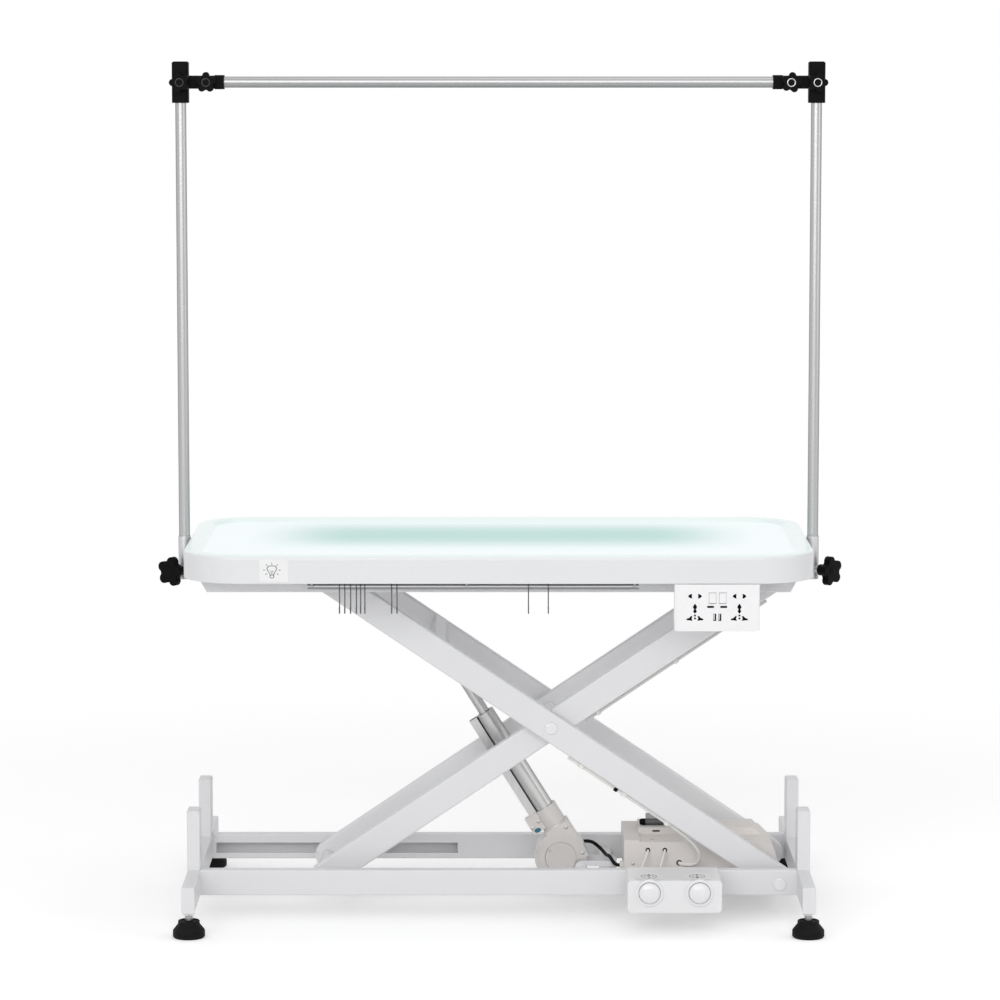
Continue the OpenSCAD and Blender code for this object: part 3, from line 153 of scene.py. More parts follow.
def make_coat_group():
    """Slow drift of tone and gloss over a part, and the fine grain of its skin."""
    tree, given, made = shader_group("skin", [
        ("Base", "Color"), ("Drift", "Float"), ("Rough", "Float"), ("Grain Scale", "Float")],
        [("Color", "Color"), ("Roughness", "Float"), ("Height", "Float")])
    place = tree.nodes.new("ShaderNodeTexCoord").outputs["Object"]
    slow = math_node(tree, "SUBTRACT", noise_node(tree, place, DRIFT_SCALE, 4.0), 0.5)
    spots = math_node(tree, "SUBTRACT", noise_node(tree, place, SPOT_SCALE, 3.0), 0.5)
    both = math_node(tree, "MULTIPLY_ADD", spots, SPOT_SHARE, slow)
    tone = math_node(tree, "MULTIPLY_ADD", both, given.outputs["Drift"], 1.0)
    tree.links.new(scaled_colour(tree, given.outputs["Base"], tone), made.inputs["Color"])
    rough = math_node(tree, "MULTIPLY_ADD", both, SKIN_ROUGH_DRIFT, given.outputs["Rough"])
    tree.links.new(rough, made.inputs["Roughness"])
    fine = tree.nodes.new("ShaderNodeTexNoise")
    fine.inputs["Detail"].default_value = 2.0
    tree.links.new(place, fine.inputs["Vector"])
    tree.links.new(given.outputs["Grain Scale"], fine.inputs["Scale"])
    tree.links.new(fine.outputs["Fac"], made.inputs["Height"])
    return tree


def make_streak_group():
    """Drawing or polishing marks: long thin streaks along the stretched axis."""
    tree, given, made = shader_group("streaks", [
        ("Base", "Color"), ("Stretch", "Vector"), ("Rough", "Float"), ("Depth", "Float")],
        [("Color", "Color"), ("Roughness", "Float"), ("Height", "Float")])
    place = tree.nodes.new("ShaderNodeTexCoord").outputs["Object"]
    stretch = tree.nodes.new("ShaderNodeMapping")
    tree.links.new(place, stretch.inputs["Vector"])
    tree.links.new(given.outputs["Stretch"], stretch.inputs["Scale"])
    lines = noise_node(tree, stretch.outputs["Vector"], 1.0, 4.0)
    centred = math_node(tree, "SUBTRACT", lines, 0.5)
    tone = math_node(tree, "MULTIPLY_ADD", centred, given.outputs["Depth"], 1.0)
    tree.links.new(scaled_colour(tree, given.outputs["Base"], tone), made.inputs["Color"])
    rough = math_node(tree, "MULTIPLY_ADD", lines, STREAK_ROUGH_DRIFT, given.outputs["Rough"])
    tree.links.new(rough, made.inputs["Roughness"])
    tree.links.new(lines, made.inputs["Height"])
    return tree


def make_step_group():
    """Mask that is 1 above a level on one axis of the piece, with a soft edge."""
    tree, given, made = shader_group("step_above", [
        ("Axis", "Vector"), ("Level", "Float"), ("Soft", "Float")], [("Mask", "Float")])
    place = tree.nodes.new("ShaderNodeTexCoord").outputs["Object"]
    along = tree.nodes.new("ShaderNodeVectorMath")
    along.operation = "DOT_PRODUCT"
    tree.links.new(place, along.inputs[0])
    tree.links.new(given.outputs["Axis"], along.inputs[1])
    above = math_node(tree, "SUBTRACT", along.outputs["Value"], given.outputs["Level"])
    share = math_node(tree, "DIVIDE", above, given.outputs["Soft"])
    node = tree.nodes.new("ShaderNodeClamp")
    tree.links.new(share, node.inputs["Value"])
    tree.links.new(node.outputs[0], made.inputs["Mask"])
    return tree


SKIN = make_coat_group()
STREAKS = make_streak_group()
STEP = make_step_group()


# Finishes; depths of grain in metres, colours in the renderer's own linear scale

SKIN_DEPTH, MOULD_DEPTH, FINE_DEPTH = 0.0004, 0.0003, 0.0002
STREAK_BUMP = 0.05
COAT_ROUGH, EDGE_COAT_ROUGH = 0.12, 0.1
TWO_PART_DRIFT, TWO_PART_GRAIN, TWO_PART_GLOSS, TWO_PART_SOFT = 0.12, 500.0, 0.12, 0.3


def new_material(name):
    look = bpy.data.materials.new(name)
    look.use_nodes = True
    return look, look.node_tree, look.node_tree.nodes["Principled BSDF"]


def add_bump(tree, shader, height, strength, depth):
    bump = tree.nodes.new("ShaderNodeBump")
    bump.inputs["Strength"].default_value = strength
    bump.inputs["Distance"].default_value = depth
    tree.links.new(height, bump.inputs["Height"])
    tree.links.new(bump.outputs["Normal"], shader.inputs["Normal"])


def link_finish(tree, group, shader):
    """Feeds a group's colour and roughness to the shader."""
    tree.links.new(group.outputs["Color"], shader.inputs["Base Color"])
    tree.links.new(group.outputs["Roughness"], shader.inputs["Roughness"])


def skin_node(tree, base, rough, drift, grain):
    skin = tree.nodes.new("ShaderNodeGroup")
    skin.node_tree = SKIN
    skin.inputs["Base"].default_value = (*base, 1)
    skin.inputs["Drift"].default_value = drift
    skin.inputs["Rough"].default_value = rough
    skin.inputs["Grain Scale"].default_value = grain
    return skin


def coated(name, base, rough, drift, grain, bump, coat=0.0, specular=0.5, metal=0.0):
    """Powder coat, paint, plastic or rubber; grain is in bumps per metre."""
    look, tree, shader = new_material(name)
    skin = skin_node(tree, base, rough, drift, grain)
    link_finish(tree, skin, shader)
    add_bump(tree, shader, skin.outputs["Height"], bump, SKIN_DEPTH)
    shader.inputs["Metallic"].default_value = metal
    shader.inputs["Coat Weight"].default_value = coat
    shader.inputs["Coat Roughness"].default_value = COAT_ROUGH
    shader.inputs["Specular IOR Level"].default_value = specular
    return look


def streak_node(tree, base, rough, stretch, depth):
    streak = tree.nodes.new("ShaderNodeGroup")
    streak.node_tree = STREAKS
    streak.inputs["Base"].default_value = (*base, 1)
    streak.inputs["Stretch"].default_value = stretch
    streak.inputs["Rough"].default_value = rough
    streak.inputs["Depth"].default_value = depth
    return streak


def metal(name, base, rough, stretch, depth, edge):
    """Bare metal; edge is how bright it stays where the surface turns away."""
    look, tree, shader = new_material(name)
    streak = streak_node(tree, base, rough, stretch, depth)
    link_finish(tree, streak, shader)
    add_bump(tree, shader, streak.outputs["Height"], STREAK_BUMP, FINE_DEPTH)
    shader.inputs["Metallic"].default_value = 1.0
    shader.inputs["Specular Tint"].default_value = (edge, edge, edge, 1)
    return look


UPWARD = (0, 0, 1)


def mask_node(tree, axis, level, soft):
    """Mask by place on the piece; level and soft are in millimetres."""
    step = tree.nodes.new("ShaderNodeGroup")
    step.node_tree = STEP
    step.inputs["Axis"].default_value = axis
    step.inputs["Level"].default_value = level * MM
    step.inputs["Soft"].default_value = soft * MM
    return step.outputs["Mask"]


def mixed(tree, mask, first, second, kind="RGBA"):
    """Mix of two colours or two numbers by a mask; each is a value or a socket."""
    node = tree.nodes.new("ShaderNodeMix")
    node.data_type = kind
    slots = {"RGBA": (6, 7), "FLOAT": (2, 3)}[kind]
    tree.links.new(mask, node.inputs[0])
    for place, value in zip(slots, (first, second)):
        if hasattr(value, "is_output"):
            tree.links.new(value, node.inputs[place])
        else:
            node.inputs[place].default_value = value
    return node.outputs[2 if kind == "RGBA" else 0]


def two_part(name, first, second, level, bump):
    """One material with a second finish above a level; each is (base, rough, metallic)."""
    look, tree, shader = new_material(name)
    mask = mask_node(tree, UPWARD, level, TWO_PART_SOFT)
    lower, upper = [skin_node(tree, *finish[:2], TWO_PART_DRIFT, TWO_PART_GRAIN)
                    for finish in (first, second)]
    for socket in ("Color", "Roughness"):
        kind = "RGBA" if socket == "Color" else "FLOAT"
        value = mixed(tree, mask, lower.outputs[socket], upper.outputs[socket], kind)
        tree.links.new(value, shader.inputs["Base Color" if socket == "Color" else socket])
    tree.links.new(mixed(tree, mask, first[2], second[2], "FLOAT"), shader.inputs["Metallic"])
    add_bump(tree, shader, lower.outputs["Height"], bump, SKIN_DEPTH)
    shader.inputs["Specular IOR Level"].default_value = TWO_PART_GLOSS
    return look


def fade_out(tree, place, axis, centre, near, far):
    """0 within near of the centre along one axis, rising to 1 at far; in millimetres."""
    parts = tree.nodes.new("ShaderNodeSeparateXYZ")
    tree.links.new(place, parts.inputs[0])
    offset = math_node(tree, "SUBTRACT", parts.outputs[axis], centre * MM)
    ramp = tree.nodes.new("ShaderNodeMapRange")
    ramp.interpolation_type = "SMOOTHSTEP"
    ramp.inputs["From Min"].default_value = near * MM
    ramp.inputs["From Max"].default_value = far * MM
    tree.links.new(math_node(tree, "ABSOLUTE", offset), ramp.inputs["Value"])
    return ramp.outputs["Result"]


# Milky panel; its fades give the axis, the centre, and where they begin and end

PANEL_BASE = (0.33, 0.40, 0.39)
PANEL_MIDDLE_GLOW = (0.21, 0.35, 0.322, 1)
PANEL_EDGE_GLOW = (0.575, 0.575, 0.59, 1)
PANEL_ACROSS = ("X", 5, 285, 520)
PANEL_DEEP = ("Y", 62, 21, 245)
PANEL_GLOSS = 0.1


def milky_panel():
    """Milky sheet lit from its edges: pale teal in the middle, near white at the rim."""
    look, tree, shader = new_material("milky_panel")
    skin = skin_node(tree, PANEL_BASE, 0.5, 0.03, 300.0)
    link_finish(tree, skin, shader)
    place = tree.nodes.new("ShaderNodeTexCoord").outputs["Object"]
    across = fade_out(tree, place, *PANEL_ACROSS)
    deep = fade_out(tree, place, *PANEL_DEEP)
    total = math_node(tree, "ADD", across, deep)
    overlap = math_node(tree, "MULTIPLY", across, deep)
    either = math_node(tree, "SUBTRACT", total, overlap)
    colour = mixed(tree, either, PANEL_MIDDLE_GLOW, PANEL_EDGE_GLOW)
    tree.links.new(colour, shader.inputs["Emission Color"])
    shader.inputs["Emission Strength"].default_value = 1.0
    shader.inputs["Specular IOR Level"].default_value = PANEL_GLOSS
    add_bump(tree, shader, skin.outputs["Height"], 0.01, FINE_DEPTH)
    return look


# Table edge; corner centre and reach of the slope in metres, drops below the top in millimetres

CORNER_CENTRE = (0.490, 0.190, 0)
SLOPE_REACH = 0.097
SLOPE_DROP, SLOPE_SOFT = 9.0, 0.5
RIM_DROP, RIM_SOFT = 3.5, 2.5
SHELL_BASE = (0.755, 0.76, 0.775)
RIM_BASE = (0.52, 0.58, 0.565, 1)
RIM_GLOW = (0.27, 0.30, 0.30, 1)
NO_GLOW = (0, 0, 0, 1)
SHELL_COAT_WEIGHT = 0.25


def inner_slope_mask(tree):
    """1 on the slope from the rim down to the panel, found from the arcs of its corners."""
    place = tree.nodes.new("ShaderNodeTexCoord").outputs["Object"]
    steps = [("ABSOLUTE", None), ("SUBTRACT", CORNER_CENTRE),
             ("MAXIMUM", (0, 0, 0)), ("MULTIPLY", (1, 1, 0))]
    for operation, value in steps:
        node = tree.nodes.new("ShaderNodeVectorMath")
        node.operation = operation
        tree.links.new(place, node.inputs[0])
        if value:
            node.inputs[1].default_value = value
        place = node.outputs[0]
    reach = tree.nodes.new("ShaderNodeVectorMath")
    reach.operation = "LENGTH"
    tree.links.new(place, reach.inputs[0])
    inside = math_node(tree, "LESS_THAN", reach.outputs["Value"], SLOPE_REACH)
    above = mask_node(tree, UPWARD, TABLE_TOP - SLOPE_DROP, SLOPE_SOFT)
    return math_node(tree, "MULTIPLY", inside, above)


def shell_coat():
    """Moulded table edge; its rim and inner slope pass the light strip's glow."""
    look, tree, shader = new_material("moulded_edge")
    rim = mask_node(tree, UPWARD, TABLE_TOP - RIM_DROP, RIM_SOFT)
    mask = math_node(tree, "MAXIMUM", rim, inner_slope_mask(tree))
    skin = skin_node(tree, SHELL_BASE, 0.34, 0.03, 260.0)
    colour = mixed(tree, mask, skin.outputs["Color"], RIM_BASE)
    tree.links.new(colour, shader.inputs["Base Color"])
    tree.links.new(skin.outputs["Roughness"], shader.inputs["Roughness"])
    glow = mixed(tree, mask, NO_GLOW, RIM_GLOW)
    tree.links.new(glow, shader.inputs["Emission Color"])
    shader.inputs["Emission Strength"].default_value = 1.0
    shader.inputs["Coat Weight"].default_value = SHELL_COAT_WEIGHT
    shader.inputs["Coat Roughness"].default_value = EDGE_COAT_ROUGH
    add_bump(tree, shader, skin.outputs["Height"], 0.03, MOULD_DEPTH)
    return look


# Materials of all the pieces

WHITE_COAT = coated("white_powder_coat", (0.76, 0.76, 0.775), 0.45, 0.05, 900.0, 0.10, 0.12)
SHELL_COAT = shell_coat()
PANEL = milky_panel()
WHITE_PLASTIC = coated("white_plastic", (0.80, 0.80, 0.81), 0.34, 0.03, 300.0, 0.04, 0.2)
PLATE_PLASTIC = coated("plate_plastic", (0.87, 0.87, 0.88), 0.34, 0.03, 300.0, 0.04, 0.2)
BUTTON_GLOSS = coated("button_gloss", (0.80, 0.80, 0.815), 0.2, 0.02, 200.0, 0.01, 0.8)
LABEL_FILM = coated("label_film", (0.80, 0.80, 0.80), 0.5, 0.03, 300.0, 0.02)
PATCH_FILM = coated("patch_film", (0.83, 0.83, 0.835), 0.38, 0.03, 300.0, 0.02)
INK = coated("printed_ink", (0.07, 0.07, 0.075), 0.6, 0.08, 500.0, 0.02, specular=0.2)
# Black of the socket holes, plate slots, port holes and lid slot: painted shade inside the openings
HOLE_SHADE = coated("painted_hole_shade", (0.004, 0.004, 0.004), 0.8, 0.1, 400.0, 0.02, specular=0.03)
BLACK_PLASTIC = coated("black_plastic", (0.003, 0.003, 0.0032), 0.5, 0.3, 1600.0, 0.3,
                       specular=0.07)
BLACK_SHEATH = coated("black_sheath", (0.006, 0.006, 0.006), 0.55, 0.2, 700.0, 0.1, specular=0.12)
SEAM_GREY = coated("seam_grey", (0.25, 0.245, 0.235), 0.6, 0.1, 700.0, 0.05)
# Grey of the cable under the inner arm is painted shade from the arm above it
SHADED_CABLE_GREY = coated("cable_painted_shade", (0.62, 0.615, 0.60), 0.5, 0.06, 700.0, 0.08)
WHITE_SHEATH = coated("white_sheath", (0.84, 0.83, 0.80), 0.5, 0.06, 700.0, 0.08)
ROLLER_PLASTIC = coated("roller_plastic", (0.55, 0.55, 0.535), 0.5, 0.08, 600.0, 0.08)
CASE_PAINT = coated("actuator_paint", (0.64, 0.615, 0.60), 0.42, 0.12, 700.0, 0.16, metal=0.2)
HANDLE_GLOSS = coated("handle_gloss", (0.075, 0.075, 0.075), 0.28, 0.1, 500.0, 0.04, coat=0.6)
TEAL_FILM = coated("teal_film", (0.015, 0.14, 0.20), 0.45, 0.2, 300.0, 0.02)
ZINC = metal("zinc_plate", (0.50, 0.50, 0.51), 0.34, (90, 90, 90), 0.2, 0.5)
WIRE = metal("hook_wire", (0.13, 0.13, 0.13), 0.34, (200, 200, 20), 0.2, 0.4)
RAIL_STEEL = metal("rail_steel", (0.30, 0.30, 0.305), 0.25, (6, 700, 700), 0.16, 0.2)
POST_STEEL = metal("post_steel", (0.46, 0.46, 0.465), 0.22, (700, 700, 5), 0.10, 0.2)
BAR_STEEL = metal("bar_steel", (0.37, 0.37, 0.375), 0.25, (5, 700, 700), 0.10, 0.12)
SLEEVE_METAL = metal("sleeve_metal", (0.60, 0.60, 0.61), 0.42, (90, 90, 30), 0.12, 0.5)
DRAWN_TUBE = metal("drawn_tube", (0.52, 0.52, 0.515), 0.3, (500, 500, 12), 0.2, 0.5)
# One knob ring in two copies: a bright one with a painted highlight for the right knobs, a dark one
# with painted shade for the left
RING_PAINTED_HIGHLIGHT = metal("knob_ring_painted_highlight", (0.60, 0.60, 0.60), 0.25, (90, 90, 90), 0.15, 0.5)
RING_PAINTED_SHADE = metal("dark_ring", (0.07, 0.07, 0.07), 0.35, (90, 90, 90), 0.2, 0.5)
RUBBER = ((0.006, 0.006, 0.006), 0.62, 0.0)
STUD_STEEL = ((0.36, 0.36, 0.36), 0.32, 1.0)
BOX_BEIGE = ((0.78, 0.745, 0.72), 0.5, 0.0)
LID_TUBE_GREY = ((0.48, 0.48, 0.48), 0.4, 0.0)
FOOT_LOOK = two_part("rubber_and_stud", RUBBER, STUD_STEEL, RUBBER_TOP, 0.25)
BOX_LOOK = two_part("box_and_tube", BOX_BEIGE, LID_TUBE_GREY, RAISED_LID + 0.3, 0.1)

NODE_LOOKS = {
    "control_box": BOX_LOOK, "light_panel": PANEL, "tabletop_shell": SHELL_COAT,
    "post_sleeves": SLEEVE_METAL, "outlet_panel": PLATE_PLASTIC, "rocker_left": PLATE_PLASTIC,
    "rocker_right": PLATE_PLASTIC, "foot_switch_box": WHITE_PLASTIC, "foot_button_up": BUTTON_GLOSS,
    "foot_button_down": BUTTON_GLOSS, "outer_arm_cable": WHITE_SHEATH, "inner_arm_cable": SHADED_CABLE_GREY,
    "base_cables": WHITE_SHEATH, "lift_cable": WHITE_SHEATH, "actuator_housing": CASE_PAINT,
    "actuator_tube": DRAWN_TUBE, "actuator_rod": DRAWN_TUBE, "gantry_posts": POST_STEEL,
    "crossbar": BAR_STEEL, "corner_clamps": BLACK_PLASTIC, "hook_rail": RAIL_STEEL,
    "base_bolts": BUTTON_GLOSS, "centre_pivot_bolts": BUTTON_GLOSS,
}


def look_of(name):
    """Finish of a CAD piece, from its own name or from its kind."""
    if name in NODE_LOOKS:
        return NODE_LOOKS[name]
    if "knob" in name:
        return BLACK_PLASTIC
    if "roller" in name:
        return ROLLER_PLASTIC
    if name.startswith("hook_"):
        return WIRE
    if name.startswith(("foot_front", "foot_rear")):
        return FOOT_LOOK
    return WHITE_COAT


for node_name, node in nodes.items():
    node.data.materials.clear()
    node.data.materials.append(look_of(node_name))


# Modelling kit; outlines, profiles and points are in millimetres

def at(x, y, z):
    return Vector((x, y, z)) * MM


def spot(x, y, z):
    """Place with its axes along the frame's."""
    return Matrix.Translation(at(x, y, z))


def rotation(degrees, axis):
    return Matrix.Rotation(math.radians(degrees), 4, axis)


def facing_front(x, y, z):
    """Place whose first axis runs right, second up and third to the front."""
    return spot(x, y, z) @ rotation(90, "X")


def on_outer_arm(x, y, z):
    return spot(CENTRE_X, 0, CENTRE_Z) @ rotation(LIFT_ANGLE, "Y") @ spot(x, y, z)


def on_actuator(x, y, z):
    return spot(ACTUATOR_X, 0, ACTUATOR_Z) @ rotation(-ACTUATOR_TURN, "Y") @ spot(x, y, z)


def on_actuator_front(x, y, z):
    """Place on the actuator whose third axis runs to the front."""
    return on_actuator(x, y, z) @ rotation(90, "X")


def set_in_place(bm, start, place):
    bm.verts.ensure_lookup_table()
    bmesh.ops.transform(bm, matrix=place, verts=bm.verts[start:])


def turned(bm, profile, place, steps=32, degrees=360):
    """Spins a profile of (radius, height) about the place's third axis."""
    start = len(bm.verts)
    points = [bm.verts.new((radius * MM, 0, height * MM)) for radius, height in profile]
    lines = [bm.edges.new(pair) for pair in zip(points, points[1:])]
    bmesh.ops.spin(bm, geom=points + lines, cent=(0, 0, 0), axis=(0, 0, 1), dvec=(0, 0, 0),
                   angle=math.radians(degrees), steps=steps, use_merge=degrees == 360,
                   use_duplicate=False)
    set_in_place(bm, start, place)


def block(bm, size, place, edge=0.0, segments=2):
    """Box about the place's origin with its edges rounded."""
    scale = Matrix.Diagonal((size[0] * MM, size[1] * MM, size[2] * MM, 1))
    start = len(bm.verts)
    corners = bmesh.ops.create_cube(bm, size=1.0, matrix=scale)["verts"]
    if edge > 0:
        lines = list({line for corner in corners for line in corner.link_edges})
        bmesh.ops.bevel(bm, geom=lines, offset=edge * MM, offset_type="OFFSET", segments=segments,
                        profile=0.5, affect="EDGES", material=-1)
    set_in_place(bm, start, place)


def plate(bm, outline, place, rise):
    """Flat outline raised along the place's third axis."""
    start = len(bm.verts)
    face = bm.faces.new([bm.verts.new((u * MM, v * MM, 0)) for u, v in outline])
    grown = bmesh.ops.extrude_face_region(bm, geom=[face])["geom"]
    raised = [item for item in grown if isinstance(item, bmesh.types.BMVert)]
    bmesh.ops.translate(bm, vec=(0, 0, rise * MM), verts=raised)
    set_in_place(bm, start, place)


def line(bm, points, width, place, rise):
    """Printed line through points, as thin bars."""
    for (u0, v0), (u1, v1) in zip(points, points[1:]):
        length = math.hypot(u1 - u0, v1 - v0) + width * 0.6
        middle = spot((u0 + u1) / 2, (v0 + v1) / 2, rise / 2)
        turn = Matrix.Rotation(math.atan2(v1 - v0, u1 - u0), 4, "Z")
        block(bm, (length, width, rise), place @ middle @ turn)


def arc(radius, first, last, steps, cx=0.0, cy=0.0, flat=1.0):
    """Points on an arc between two angles in degrees."""
    turns = [math.radians(first + (last - first) * i / steps) for i in range(steps + 1)]
    return [(cx + radius * math.cos(a), cy + flat * radius * math.sin(a)) for a in turns]


def screw_head(bm, place, radius, rise):
    """Low round head with a raised cross on it, along the place's third axis."""
    dome = [(0, rise), (radius * 0.55, rise * 0.95), (radius * 0.9, rise * 0.55), (radius, 0)]
    turned(bm, dome, place, 20)
    for turn in (45, 135):
        block(bm, (radius * 1.2, radius * 0.22, 0.3),
              place @ spot(0, 0, rise) @ rotation(turn, "Z"))


def finished(bm, name, look, body, smooth=35.0):
    """Makes the piece from its mesh, with its finish and the body that it rides."""
    bmesh.ops.remove_doubles(bm, verts=bm.verts, dist=1e-6)
    bmesh.ops.recalc_face_normals(bm, faces=bm.faces)
    mesh = bpy.data.meshes.new(name)
    bm.to_mesh(mesh)
    bm.free()
    mesh.polygons.foreach_set("use_smooth", [True] * len(mesh.polygons))
    mesh.set_sharp_from_angle(angle=math.radians(smooth))
    mesh.materials.append(look)
    piece = put_in_scene(name, mesh)
    if body:
        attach(piece, body)
    return piece


# Cables

ROUTE_PARTS = 6
CABLE_ROUNDNESS = 5
CABLE_SMOOTH = 60


def smooth_route(points, parts):
    """Points on a smooth curve through the given ones, as in the part's source."""
    given = [Vector(point) for point in points]
    route = []
    for i in range(len(given) - 1):
        a, b = given[max(i - 1, 0)], given[i]
        c, d = given[i + 1], given[min(i + 2, len(given) - 1)]
        for step in range(parts):
            t = step / parts
            route.append(0.5 * (2 * b + (c - a) * t + (2 * a - 5 * b + 4 * c - d) * t ** 2
                                + (3 * b - a - 3 * c + d) * t ** 3))
    return [point * MM for point in route + [given[-1]]]


def cable(name, points, diameter, look, nodes_replaced, bodies, bend=None):
    """Round cable between two parts; with bend given it rides no body and its place is baked into
    the mesh; the points in bend are not used.
    """
    route = smooth_route(points, ROUTE_PARTS)
    curve = bpy.data.curves.new(name + "_route", "CURVE")
    curve.dimensions = "3D"
    curve.bevel_depth = diameter * MM / 2
    curve.bevel_resolution = CABLE_ROUNDNESS
    curve.use_fill_caps = True
    run = curve.splines.new("POLY")
    run.points.add(len(route) - 1)
    for point, place in zip(run.points, route):
        point.co = (*place, 1)
    shaper = bpy.data.objects.new(name + "_route", curve)
    mesh = bpy.data.meshes.new_from_object(shaper)
    mesh.name = name
    bpy.data.objects.remove(shaper)
    bm = bmesh.new()
    bm.from_mesh(mesh)
    body = None if bend else bodies[0]
    piece = finished(bm, name, look, body, CABLE_SMOOTH)
    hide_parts(*nodes_replaced)
    if bend:
        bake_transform(piece)
    return piece


LOOP_ROUTE = [
    (334.4, -130.5, 175.1), (345, -129.5, 167.2), (360, -127, 155), (376, -122, 139.5),
    (388, -116, 122), (390.5, -110, 109), (386, -101, 97), (375, -92.5, 91),
    (363, -86, 90), (354, -82, 91), (352, -77, 92)]
MOTOR_ROUTE = [
    (152.6, 50, 102.6), (166, 50, 108), (184, 46, 108), (200, 32, 99), (211, 8, 91),
    (218, -18, 92), (224, -38, 86), (231, -45, 81), (243, -46, 80)]
LEFT_LEAD = [
    (291, -77, 117), (290, -86, 114), (284, -96, 100), (275, -106, 80), (268, -118, 64),
    (265, -133, 54), (264, -152, 47.2), (264, -176, 47.2),
    (266.4, -192, 47.2), (269, -199.5, 49.2), (270, -203, 53.4), (270, -203.3, 57.7)]
RIGHT_LEAD = [
    (324, -77, 117), (323, -86, 114), (318, -96, 98), (311, -106, 79), (305, -118, 63),
    (302, -133, 54), (301, -152, 47.2), (301, -176, 47.2),
    (303.4, -192, 47.2), (305.4, -199.5, 49.2), (306, -203, 53.4), (306, -203.3, 57.7)]

cable("white_loop", LOOP_ROUTE, CABLE_D, WHITE_SHEATH, ["lift_cable"], ("base", "outer_arms"),
      (at(372, -90, 91), at(345, -129, 167)))
cable("motor_lead", MOTOR_ROUTE, CABLE_D, BLACK_SHEATH, ["lift_cable"], ("base", "actuator_body"),
      (at(205, 20, 95), at(160, 50, 105)))
cable("switch_lead_left", LEFT_LEAD, LEAD_D, WHITE_SHEATH, ["base_cables"], ("base",), None)
cable("switch_lead_right", RIGHT_LEAD, LEAD_D, WHITE_SHEATH, ["base_cables"], ("base",), None)


CLIP_SIZE = (7.5, 13, 8)
CLIP_ON_ARM = (171, -130.5, -30.6)
CLIP_EDGE = 1.4


def cable_clip():
    """Dark clip round the cable under the front outer arm."""
    bm = bmesh.new()
    block(bm, CLIP_SIZE, on_outer_arm(*CLIP_ON_ARM), CLIP_EDGE, 3)
    finished(bm, "outer_arm_clip", BLACK_PLASTIC, "outer_arms")


cable_clip()


# Touch patch with its lamp sign on the front band

PATCH_X0, PATCH_X1 = -450.5, -396.2
PATCH_Z0, PATCH_Z1 = 675.6, 717.2
SIGN_X, SIGN_Z = -426.4, 698.2
SIGN_RISE, SIGN_OUT = 0.15, 0.3
PATCH_THICK, PATCH_EDGE = 0.7, 0.3
RAY_LENGTH = 3.1
RAYS = ((0, 13.0), (45, 12.2), (90, 10.8), (135, 12.2), (180, 13.0), (-35, 11.6), (215, 11.6))


def touch_patch():
    bm = bmesh.new()
    middle = spot((PATCH_X0 + PATCH_X1) / 2, TABLE_FRONT, (PATCH_Z0 + PATCH_Z1) / 2)
    size = (PATCH_X1 - PATCH_X0, PATCH_THICK, PATCH_Z1 - PATCH_Z0)
    block(bm, size, middle, PATCH_EDGE, 1)
    finished(bm, "touch_patch", PATCH_FILM, "tabletop")


def lamp_sign():
    """Sign on the patch: a lamp with its rays, in printed lines."""
    bm = bmesh.new()
    place = facing_front(SIGN_X, TABLE_FRONT - SIGN_OUT, SIGN_Z)
    half = [(3.4, -9.5), (3.6, -7.4), (5.6, -4.0), (8.6, 0.4), (9.2, 3.6), (7.6, 6.2),
            (4.4, 7.8), (0, 8.2)]
    for side in (-1, 1):
        line(bm, [(side * u, v) for u, v in half], 1.2, place, SIGN_RISE)
        line(bm, [(side * 2.4, -0.6), (side * 0.2, -4.8)], 0.8, place, SIGN_RISE)
    line(bm, arc(3.9, 0, 360, 16, 0, -12, 0.8), 1.1, place, SIGN_RISE)
    line(bm, [(0, -4.4), (0, -8.6)], 0.8, place, SIGN_RISE)
    line(bm, [(-3.4, -9.2), (3.4, -9.2)], 1.0, place, SIGN_RISE)
    for turn, inner in RAYS:
        a = math.radians(turn)
        ray = [(reach * math.cos(a), reach * math.sin(a)) for reach in (inner, inner + RAY_LENGTH)]
        line(bm, ray, 1.1, place, SIGN_RISE)
    finished(bm, "lamp_sign", INK, "tabletop")


touch_patch()
lamp_sign()


# Outlet plate: two socket groups, two slots, two charging ports and the rocker frame

SOCKET_X = (369.6, 453.2)
SLOT_X = (399.0, 423.6)
SLOT_Z = 628.7
PORT_X = (406.8, 416.4)
PORT_Z = 608.9
ROCKER_X, ROCKER_Z = 412.2, 645.24
ROCKER_OUT = 9.5
SIDE_HOLES_Z, LOWER_HOLES_Z = 649, 607
LONG_HOLE_Z, SHORT_HOLE_Z = 628.4, 620.2
DOTS_Z = (612.2, 606.8)
DOT_R = 1.9
PRINT_SINK, HOLE_THICK = 0.1, 0.3
PLATE_SCREW_X, PLATE_SCREW_Z = (341.5, 483.5), 626.7


def framed(half_wide, half_high):
    """Corners of a rectangle about its middle."""
    return [(-half_wide, -half_high), (half_wide, -half_high),
            (half_wide, half_high), (-half_wide, half_high)]
